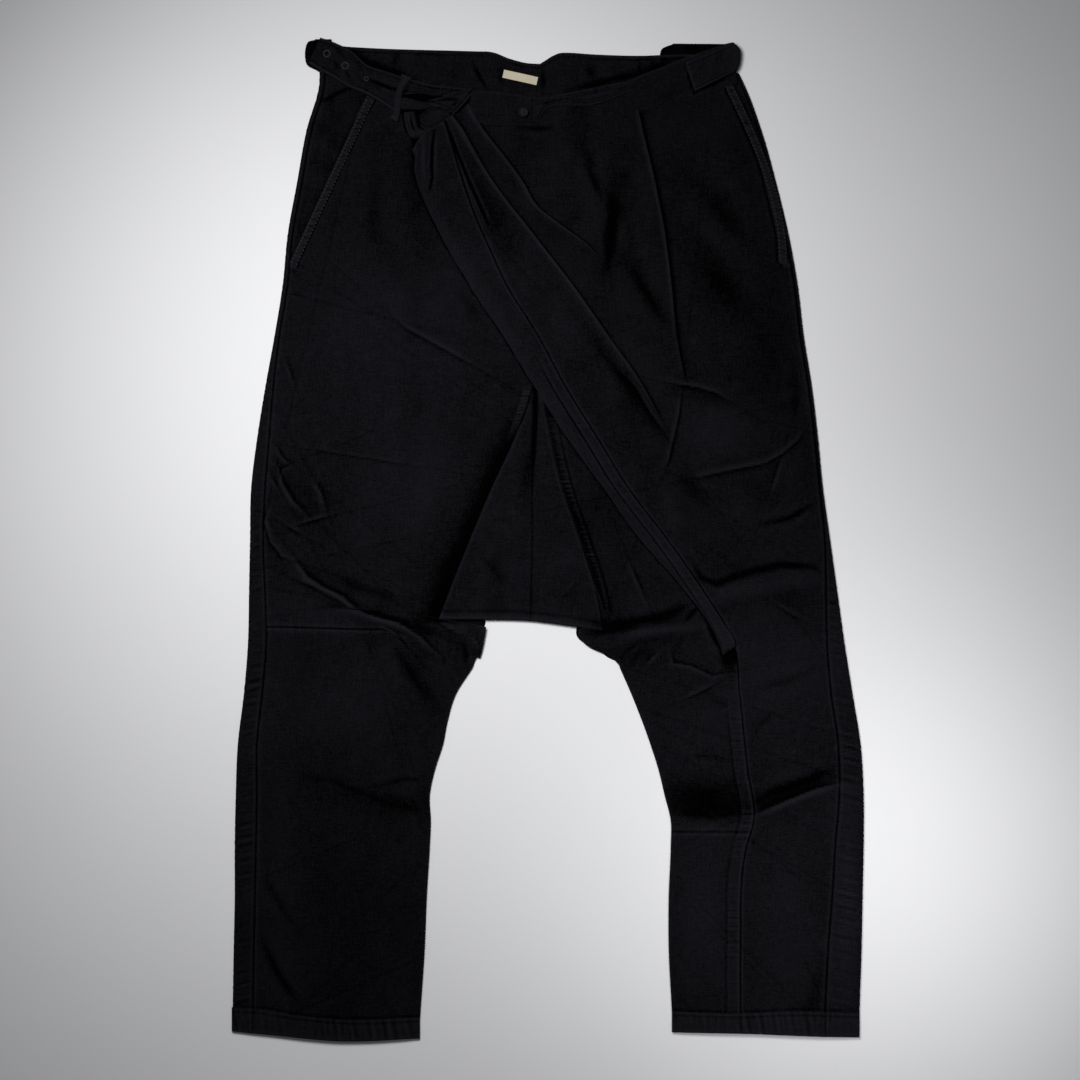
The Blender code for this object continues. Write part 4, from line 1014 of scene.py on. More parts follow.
def gusset():
    """Both halves of the gusset with the rolled foot."""
    level = stations(GUSSET_HEAD, GUSSET_LEVEL, 2.0)
    dropped = ease((-40 - level) / 48)

    def fall(x):
        return (GUSSET_FOOT("y", x) - GUSSET_LEVEL + 1.6) * dropped

    left, valley, right = (GUSSET(name, level) for name in ("left_edge", "valley", "right_edge"))
    left = settled(left, lambda at: GUSSET("left_edge", level + fall(at)))
    right = settled(right, lambda at: GUSSET("right_edge", level + fall(at)))
    x = np.concatenate([left + (valley - left) * spread(30, 0.5),
                        valley + (right - valley) * spread(30, 0.5)[:, 1:]], axis=1)
    y = level + fall(x)
    down = (150 - y) / 217
    shut = 1 - ease((down - 0.1) / 0.4)
    into_valley = 2.6 * np.exp(-np.abs(x - valley) / 3.0) * shut + 0.35 * bell(x - valley, 1.2)
    middle = np.sin(math.pi * np.clip((x - left) / (right - left), 0, 1))
    above_foot = y - GUSSET_FOOT("y", x)
    z = 4.4 + 1.3 * ease(down) - into_valley + 0.6 * middle * ease(down) + 0.1 * ripple(x, y, FINE)
    z = z + 0.4 * ripple(x * 1.3, y * 1.3, BROAD) * ease(down)
    z = z - 0.3 * bell(above_foot - 8, 1.4) + 0.2 * pucker(1.6 * x, 2.2) * bell(above_foot - 4, 4)
    # painted shade down the middle valley, a painted shadow left of it and along the creases; the folded
    # edges lighter, partly rubbed and partly painted highlight; a painted shade line above the foot, which
    # is lighter
    w = 0.02 - 0.95 * bell(x - valley + 1.3, 2.3) * shut - 0.12 * bell(x - valley, 0.9)
    w = w - 0.3 * bell(x - valley + 6, 6.5) * bell(down - 0.4, 0.14)
    for lean, points in GUSSET_CREASES:
        z = z + crease(x, y, 0.7, 6, lean, points)
        w = w - 0.24 * crease(x, y, 1.0, 6, 0, points)
    w = w + 0.22 * bell(x - left - 1, 1.6) + 0.16 * bell(right - x - 1, 1.4)
    w = w - 0.12 * bell(above_foot - 8, 1.4) + 0.2 * bell(above_foot - 1, 1.6)
    grid = turned((x, y, z, w), "bottom", 2.3, tuck=14.0, steps=7)
    return cloth("cloth_gusset", turned(grid, "left right", 0.7), BLACK_COTTON,
                 ["gusset_left", "gusset_right", "crotch_fold"], lowest=FLOOR_GAP + 0.7)


gusset()

# %% [markdown]
# A hem is a tube round the leg: the cloth is turned up inside and stitched near its top. The
# feed of the machine drags the upper layer, so a hem puckers in short upright folds, and the
# seams that it crosses show through it as lines.

# %% Hems
HEM_FEET = {
    "right": Chart("x y", (-310, -481), (-266, -485), (-202, -490.5), (-125, -488)),
    "left": Chart("x y", (121, -482), (188, -483), (266, -486), (304, -487)),
}
HEM_SEAMS = {"right": ((-289, -1),), "left": ((188, -1), (271, 1))}     # X, and the side that is rubbed
HEM_MIDDLE = {"right": -479, "left": -475}      # Y where the leg's width is taken
HEM_BACK = 0.12         # height of the side that lies on the floor
TURN_UP = 14            # how far the foot is turned up inside


def hem(side):
    """A closed band round one leg, with its foot turned up inside."""
    seed = 1.1 if side == "right" else 3.3

    def gathered(x, y):
        return pucker(x * 0.9 + (y + 475) * 0.16, seed) + 0.5 * pucker(1.3 * x - 0.1 * y, seed + 2.1)

    rows = np.linspace(0, 1, 12)[:, None]
    level = HEM_MIDDLE[side]
    low, high = sorted((OUTLINE(f"{side}_edge", level), LEGS(f"{side}_inner", level)))
    low, high = low + 1.4, high - 1.4
    top = low + (high - low) * spread(96)
    back = top[:, ::-4]
    angles = HALF_TURN[:, :-1]
    x = np.concatenate([top, high + 2.0 * np.sin(angles), back, low - 2.0 * np.sin(angles)], axis=1)
    inward = np.concatenate([0 * top - 1, -np.cos(angles), 0 * back + 1, np.cos(angles)], axis=1)
    head, foot = HEM_TOPS[side]("y", x), HEM_FEET[side]("y", x) + 1.0
    y = head + (foot - head) * rows
    crown = front_top(x, y) + 0.8 + 0.26 * gathered(x, y) * np.sin(math.pi * rows) ** 0.8
    crown = crown - 0.5 * bell(y - head + 3.5, 1.3) - 0.5 * ease((y - head + 1.4) / 1.4)
    share = (1 - inward) / 2
    z = HEM_BACK + (crown - HEM_BACK) * share
    turn = np.linspace(0, math.pi, 7)[1:, None]
    y = np.concatenate([y, y[-1:] - 1.0 * np.sin(turn), y[-1:] + TURN_UP], axis=0)
    z = np.concatenate([z, z[-1:] + inward * (1 - np.cos(turn)), z[-1:] + 2 * inward], axis=0)
    # the hem's top fold lighter and a painted shade line in the stitch groove under it; the foot lighter;
    # light and shade painted on the puckers
    w = 0.2 + 0.2 * bell(y - head + 1.5, 1.4) - 0.25 * bell(y - head + 4.2, 1.2)
    w = w + 0.15 * bell(y - foot, 2.0) + 0.34 * gathered(x, y)
    # each seam under the hem shows as a painted dark line with a lighter side
    for at, light in HEM_SEAMS[side]:
        w = w + (share > 0.9) * (0.3 * bell(x - at - 1.6 * light, 1.1) - 0.5 * bell(x - at, 0.8))
    return cloth(f"cloth_hem_{side}", (x + 0 * y, y, z, w), BLACK_COTTON, [f"hem_{side}"], closed=True)


hem("right")
hem("left")

# %% [markdown]
# The waist is built up of strips: the back band, seen from inside over the front; a pocket
# facing at each side; the front bands; and straps. Each strip is read from a few columns
# that give its upper and lower edge, and its long edges are rolled.

# %% A helper for strips and bands
def strip(name, columns, top, replaces=(), swell=0.6, radius=0.9, tuck=3.0, rolls="top bottom", rows=14,
          seed=0.0, seams=(2.6,), gathers=0.25, painted_light_level=0.0, grooves_and_shade=(), folds_to=None, edges=(0.28, 0.28)):
    """A band through columns of (x, y) on its upper edge and (x, y) on its lower edge.

    top is the height, or a pair from the upper edge to the lower. Each groove is a depth, a
    width and a path: it dents the band and is painted darker along it for its shade. A level of
    painted light lifts the whole band, and below zero paints it in shade; edges is how worn the
    two long edges are. folds_to holds a second height for the far end."""
    line = along(columns, max(20, int(math.dist(columns[0][:2], columns[-1][:2]) / 1.8)))
    v = np.linspace(0, 1, rows)[:, None]
    x = line[None, :, 0] * (1 - v) + line[None, :, 2] * v
    y = line[None, :, 1] * (1 - v) + line[None, :, 3] * v
    width = np.hypot(line[:, 0] - line[:, 2], line[:, 1] - line[:, 3])[None]
    run = np.concatenate([[0], np.cumsum(np.hypot(*np.diff(line[:, :2], axis=0).T))])[None]
    high, low = top if isinstance(top, tuple) else (top, top)
    z = high + (low - high) * v + swell * (np.sin(math.pi * np.clip(v, 0, 1)) ** 0.6 - 1)
    z = z + 0.1 * ripple(x, y, FINE)
    if folds_to is not None:
        z = z + (folds_to - high) * (run / run[0, -1])
    w = painted_light_level + 0 * z
    for gap, worn_edge in zip((v * width, (1 - v) * width), edges):
        w = w + worn_edge * bell(gap, 1.2)
        # each row of stitches dents and puckers the band, with painted shade in its groove
        for seam in seams:
            z = z - 0.4 * bell(gap - seam, 0.8) + gathers * pucker(run * 1.2, seed) * bell(gap - seam, 2.4)
            w = w - 0.18 * bell(gap - seam, 0.9)
    # each groove is painted darker along it for its shade
    for depth, wide, path in grooves_and_shade:
        groove = crease(x, y, 1.0, wide, 0, path)
        z, w = z - depth * groove, w - 0.55 * depth * groove
    grid = (x, y, z, w)
    for side in rolls.split():
        grid = turned(grid, side, radius, tuck if side in ("top", "bottom") else 0.0)
    return cloth(name, grid, BLACK_COTTON, replaces, lowest=0.3)


# %% Back band and pocket facings
BACK_TOPS = {
    "right": ((-212, 484), (-190, 482), (-150, 480), (-76, 478), (-55, 477), (-39, 471), (-22, 466.5),
              (-7.2, 465.5)),
    "left": ((-8.4, 465.3), (-3, 468.5), (6, 474), (17, 476.5), (51, 474.5), (90, 473.5), (140, 475),
             (182, 471)),
}
# each groove dents the back band and is painted darker along it; the first on the right is the strap's
# shadow on the band, painted in
BACK_GROOVES_AND_SHADE = {
    "right": (
        (0.9, 6.0, ((-213, 488), (-193, 478), (-177, 466), (-156, 458), (-132, 451))),
        (0.8, 1.6, ((-74.5, 468), (-67, 453), (-59.8, 441))), (0.4, 2.0, ((-150, 478), (-150, 460))),
        (0.3, 1.6, ((-146, 478), (-146, 462))), (0.4, 4.0, ((-46, 466), (-45, 442))),
    ),
    "left": (
        (0.5, 1.6, ((90, 471), (90, 458))), (0.5, 1.6, ((101, 472), (101, 462))),
        (0.5, 1.6, ((112, 474), (111, 466))), (0.7, 3.0, ((-5, 463), (-5, 438))),
        (0.4, 5.0, ((40, 468), (44, 448))), (0.6, 4.0, ((20, 440), (60, 450), (92, 458), (132, 473))),
    ),
}


def band_foot(x):
    """Y of the seam between the back band and the back."""
    return 424 + 20 * min(1.0, abs(x + 8) / 207)


for side, tops in BACK_TOPS.items():
    strip(f"cloth_back_band_{side}", [(x, y, x, band_foot(x)) for x, y in tops], 2.4,
          [f"back_waistband_{side}"], rolls="top", rows=26, seed=len(side), seams=(3.0,),
          grooves_and_shade=BACK_GROOVES_AND_SHADE[side])


def facing(side):
    """The strip of cloth that shows in a pocket's opening."""
    level = stations(455 if side == "left" else RIGHT_TOP, 268)
    sign = 1 if side == "right" else -1

    def placed_y(x):
        return level + strap_rise(x, level) * (side == "right")

    outseam = settled(OUTLINE(f"{side}_outseam", level), lambda at: OUTLINE(f"{side}_outseam", placed_y(at)))
    x = outseam + (pocket_line(side, level) + sign * 12 - outseam) * spread(22)
    y = placed_y(x)
    shade = np.maximum(sign * (pocket_line(side, y) - x), 0)
    fold = crease(x, y, 1.0, 1.5, 0, ((-192, 443), (-203, 439), (-213, 433), (-225, 428)))
    z = 3.4 + 0.15 * ripple(x, y, FINE) + dip(np.abs(x - outseam)) - 0.9 * fold
    # painted darker overall, with painted shade under the front's edge at the opening and along the facing's
    # fold
    w = -0.06 - 0.4 * np.exp(-shade / 2.4) - 0.6 * fold + seam_shade_and_wear(x - outseam, 0.6)
    return cloth(f"cloth_pocket_facing_{side}", (x, y, z, w), BLACK_COTTON, [f"pocket_facing_{side}"])


facing("right")
facing("left")

# %% Front bands and the long strap
strip("cloth_strap_right", (
    (-222.5, 490.4, -233.3, 466.9), (-213, 487.3, -222, 460), (-199.3, 481.1, -203, 449.3),
    (-191.8, 476.7, -193, 443.5), (-177.4, 464.1, -176, 436.3), (-161.8, 458.5, -160, 427),
    (-151, 455.0, -149, 421.5), (-141, 451.5, -142, 434), (-134.3, 449.8, -133, 435.4),
    (-123, 446.7, -124, 432.0), (-112.7, 444.4, -114.7, 430.4), (-102, 443.4, -104, 432.6),
    (-90.2, 442, -92.5, 436.6), (-73, 440, -75, 439.2),
), 6.4, ["waistband_strap_right"], swell=0.9, rolls="top bottom left", seed=0.7, rows=20, folds_to=7.6,
      edges=(0.3, 0.8), grooves_and_shade=(
          (1.3, 1.5, ((-176, 450.5), (-164.5, 446), (-153, 441.5), (-141, 438.5))),
          (0.3, 2.6, ((-174, 446), (-160, 440))), (0.4, 1.4, ((-208.5, 482), (-203, 476), (-197, 470))),
          (0.45, 1.5, ((-209.5, 470), (-206, 463), (-205, 455))),
          (0.45, 1.5, ((-200, 461), (-196, 455), (-192, 447))),
          (0.3, 2.0, ((-190, 471), (-184, 463), (-179, 456))),
          # the belt loop's shadow on the strap, painted
          (0.5, 2.2, ((-134, 447), (-140, 437), (-142, 427), (-142.8, 418))),
      ))
strip("cloth_front_band", (
    (-74.5, 438.6, -77.5, 418), (-60, 438.2, -65, 407.6), (-45, 437, -45, 405.4), (-30, 435, -30, 405.4),
    (-16.5, 432.6, -16.5, 405.4),
), (9.0, 8.4), ["waistband_front_centre"], rolls="top bottom left right", seed=1.0, radius=0.4, seams=(),
      edges=(0.3, 0.25), folds_to=8.0)
strip("cloth_band_roll", (
    (-16, 432.5, -15, 405), (-9, 431.5, -10, 409), (-3, 432, -2, 421.5), (18, 436.2, 14, 425.5),
    (40, 440.6, 37, 425), (62, 445, 58, 430), (76, 447.2, 76, 438),
), 8.8, ["waistband_front_roll"], swell=1.6, seed=3.0, seams=(2.4, 5.2), gathers=0.15)
strip("cloth_band_left", (
    (76.5, 447.4, 76.5, 420), (92, 454.4, 92, 420.5), (112, 462, 112, 424), (132, 470.2, 134, 430),
    (154, 478, 156, 437), (172, 484, 175, 443.4), (180.5, 486, 184.5, 447),
), (8.4, 6.2), ["waistband_front_left"], rolls="top bottom left right", seed=4.0, radius=0.45, rows=22,
      seams=(), edges=(0.3, 0.1), grooves_and_shade=(
          (0.12, 1.4, ((119, 463), (120, 444), (123, 428))),
          # the side strap's shadow on the band, painted
          (0.8, 1.3, ((133.6, 467), (142.6, 437.8), (163, 446.5), (184, 457))),
      ))

# %% [markdown]
# The strap's end is turned back on itself below the loop. It shows as a slack upper layer, a
# long pointed tail, and a twist at the lower left that stands open over a hollow in shade: a
# flat sheet painted near black.

# %% The turned end of the strap
# the hollow under the twist: a flat sheet painted near black for the shade in it
strip("cloth_strap_hollow", (
    (-146, 434, -141, 402), (-138, 436, -134, 391), (-127, 436, -127.3, 381), (-120, 436, -118, 391),
    (-112, 434, -110, 398), (-103, 434, -102, 405), (-96, 434, -96, 413),
), 7.3, (), rolls="", seams=(), gathers=0, painted_light_level=-0.9, swell=0, edges=(0, 0))
strip("cloth_strap_end", (
    (-143, 434, -144.5, 419.5), (-137.9, 434, -137.9, 419), (-127.3, 431, -129, 419),
    (-118, 428.8, -121, 420), (-112, 427, -114.3, 422.5), (-106, 425, -107, 420),
    (-95, 420.5, -96, 416.5),
), 8.0, (), swell=1.7, radius=0.7, tuck=2.0, seams=(), seed=2.0, painted_light_level=0.02, edges=(0, -0.2))
strip("cloth_strap_tip", (
    (-118, 428.8, -117, 426.8), (-106, 431.9, -106, 423.4), (-99, 434.2, -99, 420.8),
    (-94, 435.6, -92.8, 416.9), (-88.3, 438, -86, 423.0), (-81, 439.4, -79, 430.7),
    (-73.2, 440.4, -72.4, 438.4),
), 9.0, ["strap_end"], swell=0.8, radius=0.6, tuck=2.0, seams=(2.2,), gathers=0.1, painted_light_level=0.02,
      folds_to=9.8, edges=(0.1, 0.4), grooves_and_shade=(
          (0.9, 1.1, ((-107, 429.5), (-97, 430.2), (-89.4, 430.4), (-85.3, 427.4))),
          (0.7, 1.0, ((-95, 424.6), (-88.3, 426.8))),
      ))
strip("cloth_strap_tail", (
    (-125.8, 413, -124.5, 405), (-122, 417, -119.6, 401.4), (-114.9, 421.8, -113.1, 401.4),
    (-106, 423.2, -106, 406.2), (-99.5, 421, -99.3, 411.0), (-92.4, 417.2, -92, 415.8),
), 9.7, (), swell=1.0, radius=0.7, tuck=2.0, seed=5.0, painted_light_level=0.0, seams=(2.2,), gathers=0.1,
      edges=(0, 0.4))
# the twist is painted lighter where it catches the light, with painted shade in its grooves
strip("cloth_strap_twist", (
    (-140.8, 417.6, -130.5, 418.7), (-140.3, 410.2, -129.3, 411.4), (-138.7, 403.1, -128.1, 406.1),
    (-136.4, 397.2, -126.3, 402.5), (-133.8, 393.2, -122.8, 401.2), (-128.5, 393.2, -120.2, 401.0),
    (-122.6, 394.8, -117.2, 401.4), (-113.1, 401.0, -113.6, 402.6),
), 9.6, (), swell=2.2, radius=0.7, tuck=2.0, seams=(), gathers=0, painted_light_level=0.14, edges=(0.3, 0.0), grooves_and_shade=(
          (1.0, 1.1, ((-134.5, 416), (-134, 408), (-131.5, 401.5), (-127.5, 398.2))),
          (0.5, 0.9, ((-137.6, 412), (-136.5, 404), (-134, 398.5))),
      ))


# %% Side straps and the belt loop
def side_strap(name, rows, top, low, replaces, painted_light_level=0.0):
    """A band folded over the side, read from rows of its start, its edge and its hidden end."""
    count, reach, width = 34, 2.6, 28
    start, start_y, edge, edge_y, end, end_y = along(rows, count).T[:, :, None]
    sign = np.sign(edge - start)
    hinge = edge - sign * reach
    upper, under = spread(22), spread(14)[:, 1:]
    x = np.concatenate([start + (hinge - start) * upper, hinge + sign * reach * np.sin(HALF_TURN),
                        hinge + (end - hinge) * under], axis=1)
    y = np.concatenate([start_y + (edge_y - start_y) * upper, edge_y + 0 * HALF_TURN,
                        edge_y + (end_y - edge_y) * under], axis=1)
    down = np.concatenate([0 * upper, (1 - np.cos(HALF_TURN)) / 2, 0 * under + 1], axis=1) + 0 * start
    across = np.linspace(0, 1, count)[:, None]
    swell = 0.6 * (np.sin(math.pi * across) ** 0.6 - 1) + 0.22 * ripple(x, y, FINE)
    gap = np.minimum(across, 1 - across) * width
    z = top - (top - low) * down + (swell - 0.4 * bell(gap - 2.6, 0.8)) * (1 - 2 * down)
    # below zero the level paints the whole strap in shade, and the part that turns under is painted darker;
    # painted shade in its stitch lines; above zero its edges are lighter
    w = painted_light_level + 0.3 * bell(gap, 1.3) - 0.12 * bell(gap - 2.6, 0.9) - 0.5 * down
    if painted_light_level > 0:
        w = w + 0.45 * bell(np.abs(x - start), 1.2) * (down < 0.5) + 0.25 * bell((1 - across) * width, 1.3)
    return cloth(name, turned((x, y, z, w), "top bottom left", 0.7), BLACK_COTTON, replaces, lowest=0.3)


# the right side strap lies in shade, painted darker
side_strap("cloth_side_strap_right", (
    (-213, 489.6, -228.5, 489.6, -216, 487), (-213, 488, -235.2, 487.5, -216, 485),
    (-213, 480, -237.9, 480, -216, 479), (-213, 472, -237.9, 471, -216, 473),
    (-213, 464, -235.4, 464.5, -216, 466), (-213, 459, -226, 459.6, -216, 461),
), 3.9, 0.5, ["side_strap_right"], painted_light_level=-0.4)
side_strap("cloth_side_strap_left", (
    (135.1, 465.7, 182.5, 485.2, 122, 485.6), (136.2, 461, 186.6, 481.4, 112, 481.5),
    (138.2, 455, 188.2, 475.5, 109.5, 475.5), (140.4, 449, 187.6, 467.5, 109.5, 468),
    (142.2, 443.5, 185.8, 461.5, 109.5, 463), (143.6, 439.2, 183.8, 458.2, 112, 460),
), 9.6, 1.0, ["side_strap_left"], painted_light_level=0.14)

LOOP = ((-138.6, 453), (-140.6, 448), (-145.3, 438.2), (-146.9, 428.6), (-148, 417), (-150.8, 410.8))


def belt_loop():
    """A narrow loop that bridges the strap, with a bar of stitches at its foot."""
    middle = along(LOOP, 30)
    mx, my = middle[:, :1], middle[:, 1:]
    tx, ty = np.gradient(mx[:, 0])[:, None], np.gradient(my[:, 0])[:, None]
    length = np.hypot(tx, ty)
    across = np.linspace(-1, 1, 15)[None]
    t = np.linspace(0, 1, 30)[:, None]
    half = 2.6 + 2.1 * bell(t, 0.15) + 1.1 * bell(t - 1, 0.09)
    x, y = mx - ty / length * half * across, my + tx / length * half * across
    stitched = bell(np.abs(across) - 0.6, 0.14)
    z = 8.9 + 0.9 * np.sin(math.pi * t) ** 0.7 - 0.6 * across ** 4 - 0.35 * stitched
    z = z + 0.5 * bell(t - 0.96, 0.04)
    # paler with wear, its ends paler still, and painted shade in its stitch lines
    w = 0.42 + 0.5 * bell(t - 0.97, 0.05) + 0.5 * bell(t - 0.02, 0.05) - 0.15 * stitched
    grid = turned(turned((x, y, z, w), "left right", 0.6, 2.0), "top bottom", 0.7, 2.0)
    return cloth("cloth_belt_loop", grid, BLACK_COTTON, ["belt_loop"])


belt_loop()

# %% [markdown]
# The trims are few: a blank cloth label inside the back, three eyelets in the strap and one
# sewn metal button. The eyelets have worn to different colours, as cheap plated brass does.

# %% Label and metal finishes
def plain(name, colour, tone, roughness, grain=300.0, metallic=0.0, gloss=0.04):
    """A plain finish that varies between a colour and a second tone; the grain is per metre."""
    material, shader, graph = new_material(name)
    noise = graph.noise(graph.node("TexCoord", output=3), grain, 4.0, 0.6)
    patches = noise.clamped(0.25, 0.75)
    feed(shader, graph, Base_Color=tint(graph, patches * 0.6, (*colour, 1), (*tone, 1)),
         Roughness=roughness + (noise - 0.5) * 0.3,
         Normal=graph.node("Bump", {}, {"Strength": 0.3, "Distance": 0.0003, "Height": noise}))
    shader.inputs["Metallic"].default_value = metallic
    shader.inputs["Specular IOR Level"].default_value = gloss
    return material


def metal(name, colour, tone, grain, roughness=0.7):
    """A worn metal finish."""
    return plain(name, colour, tone, roughness, grain, metallic=0.9)


CREAM = plain("cream label cotton", (0.62, 0.56, 0.42), (0.45, 0.4, 0.3), 0.85, 900.0)
STEEL = metal("tarnished eyelet steel", (0.034, 0.034, 0.035), (0.014, 0.014, 0.014), 300.0)
COPPER = metal("reddish worn eyelet", (0.042, 0.034, 0.036), (0.018, 0.005, 0.009), 140.0)
SILVER = metal("bright worn eyelet", (0.045, 0.045, 0.045), (0.006, 0.006, 0.006), 600.0)
PEWTER = metal("old pewter button", (0.013, 0.011, 0.0105), (0.006, 0.005, 0.005), 500.0, 0.6)
# near black: painted shade for the inside of each eyelet's hole
HOLE_SHADE = plain("dark inside of an eyelet", (0.0004, 0.0004, 0.0004), (0.0002, 0.0002, 0.0002), 0.95, gloss=0.0)

# %% Turned metal parts and the label
def lathed(name, centre, profile, finish, replaces=(), lean=0.0, sides=40):
    """A round part: a profile of (radius, height) turned about a standing axis."""
    turn = np.linspace(0, 2 * math.pi, sides, endpoint=False)
    cx, cy, cz = centre
    points = [(cx + r * math.cos(a), cy + r * math.sin(a), cz + h + lean * r * math.cos(a - 0.8))
              for r, h in profile for a in turn]
    faces = [(a + sides, b + sides, b, a) for ring in range(0, (len(profile) - 1) * sides, sides)
             for a, b in ((ring + k, ring + (k + 1) % sides) for k in range(sides))]
    faces.append(tuple(range((len(profile) - 1) * sides, len(profile) * sides)))
    return placed(name, solid_mesh(name, points, faces), finish, replaces)


EYELETS = (((-216.3, 475.4), STEEL, 1.0), ((-198.4, 463.6), COPPER, 1.0), ((-177.6, 450.8), SILVER, 0.62))
RING = ((4.1, -1.2), (4.1, 0.1), (3.9, 0.6), (3.4, 0.85), (2.6, 0.75), (2.1, 0.4), (1.8, -0.1), (1.5, -0.3))
for number, ((x, y), finish, size) in enumerate(EYELETS, 1):
    lathed(f"eyelet_{number}", (x, y, 6.6), [(r * size, h) for r, h in RING], finish,
           [f"strap_eyelet_{number}"])
    # a near-black disc painted in for the shade inside the eyelet
    lathed(f"eyelet_{number}_inside", (x, y, 6.6), [(1.9 * size, -0.1), (0.3, -0.12)], HOLE_SHADE, ())

lathed("button", (-24.5, 417.5, 9.6), (
    (3.2, -0.4), (4.5, 0.1), (5.0, 0.7), (5.1, 1.2), (4.8, 1.7), (4.3, 1.85), (3.8, 1.6), (3.3, 1.4),
    (2.0, 1.5), (0.9, 1.65), (0.5, 1.65)), PEWTER, ["front_button"], lean=0.03)


def label():
    """A blank woven label, sewn down at both ends."""
    half, rise = 16.75, 3.7
    across, down = np.linspace(-half, half, 40)[None], np.linspace(rise, -rise, 10)[:, None]
    lean = math.radians(-12.5)
    x = -27.3 + across * math.cos(lean) - down * math.sin(lean)
    y = 452.8 + across * math.sin(lean) + down * math.cos(lean)
    z = 3.3 + 0.35 * np.cos(across / half * math.pi / 2) + 0.12 * np.sin(across / 4.0) + 0 * down
    grid = turned((x, y, z), "left right top bottom", 0.35)
    return cloth("cloth_label", grid, CREAM, ["label"])


label()

# %% [markdown]
# Thread is laid last. Each stitch is a small raised dash that follows the cloth under it.
# A ray dropped on the finished sheets finds the height at each stitch.

# %% Stitches laid along paths
THREAD = plain("black polyester thread", (0.0075, 0.0073, 0.0095), (0.003, 0.003, 0.004), 0.8, 2000.0)
WORN_THREAD = plain("rubbed polyester thread", (0.030, 0.029, 0.033), (0.012, 0.012, 0.013), 0.8, 1200.0)
bpy.context.view_layer.update()
TREES = [BVHTree.FromPolygons([v.co[:] for v in p.data.vertices], [f.vertices[:] for f in p.data.polygons])
         for p in made_pieces]


def height_at(x, y):
    """Height of the highest cloth or trim at a point, or None over the bare floor."""
    hits = [tree.ray_cast(Vector((x, y, 60)) * MM, Vector((0, 0, -1)))[0] for tree in TREES]
    return max((hit.z / MM for hit in hits if hit), default=None)


def stitches(name, paths, finish=THREAD, pitch=3.3, length=2.4, thick=0.28):
    """Dashes along paths, each laid on the highest cloth under it."""
    points, faces = [], []
    for path in paths:
        path = np.array(path, float)
        total = np.concatenate([[0], np.cumsum(np.hypot(*np.diff(path, axis=0).T))])
        for place in np.arange(pitch / 2, total[-1] - length / 2, pitch):
            ends = [np.array([np.interp(place + k * length / 2, total, path[:, axis]) for axis in (0, 1)])
                    for k in (-1, 1)]
            heights = [height_at(*end) for end in ends]
            if None in heights or abs(heights[0] - heights[1]) > 1.5:
                continue
            run = ends[1] - ends[0]
            side = np.array([-run[1], run[0]]) / max(np.hypot(*run), 1e-6) * thick
            first = len(points)
            for t, lift, wide in ((0, -0.15, 0.5), (0.2, 0.22, 1), (0.8, 0.22, 1), (1, -0.15, 0.5)):
                centre, z = ends[0] + run * t, heights[0] + (heights[1] - heights[0]) * t
                points += [(*(centre + side * k * wide), z + lift - drop)
                           for k, drop in ((-1, 0.25), (0, 0), (1, 0.25))]
            faces += [(a, a + 3, a + 4, a + 1)
                      for a in (first + k for ring in (0, 3, 6) for k in (ring, ring + 1))]
    return placed(name, solid_mesh(name, points, faces), finish)


def shifted(path, distance):
    """A path moved sideways, to the left of its direction."""
    run = np.gradient(path, axis=0)
    normal = np.stack([-run[:, 1], run[:, 0]], axis=-1) / np.hypot(*run.T)[:, None]
    return path + normal * distance


LADDER = {"finish": WORN_THREAD, "pitch": 3.7, "length": 2.2, "thick": 0.6}
STITCHED = (
    # name, X of the seam at a Y, its top and foot, how far each row lies to its left, and its thread
    ("pocket_right", lambda y: pocket_line("right", y), 432, 271, (0.95, 6.6), LADDER),
    ("pocket_left", lambda y: pocket_line("left", y), 444, 271, (-0.95, -6.6), LADDER),
    ("outseam_right", lambda y: OUTLINE("right_outseam", y), 262, -455, (-1.6,), {}),
    ("outseam_left", lambda y: OUTLINE("left_outseam", y), 262, -457, (1.6,), {}),
    ("wrap", lambda y: WRAP("seam", y), 200, -108, (-2.0, -10.5), {}),
    ("inseam_upper", lambda y: WRAP("seam", y), -150, -284, (-2.0, -11.0), {}),
    ("inseam_lower", lambda y: WRAP("seam", y), -288, -457, (-2.0, -11.0), {}),
    ("gusset", lambda y: GUSSET("right_edge", y), 140, -70, (2.0, 8.0), {}),
)
for name, line, top, foot, rows, thread in STITCHED:
    y = np.linspace(top, foot, max(3, int((top - foot) / 8)))
    path = np.stack([line(y), y], axis=-1)
    stitches(f"stitches_{name}", [shifted(path, row) for row in rows], **thread)
for side, left, right in (("right", -305, -126), ("left", 124, 302)):
    row = [(x, float(HEM_TOPS[side]("y", x)) - 3.6) for x in range(left, right, 8)]
    stitches(f"stitches_hem_{side}", [row])

# %% [markdown]
# A tube counts what shows of it all round.

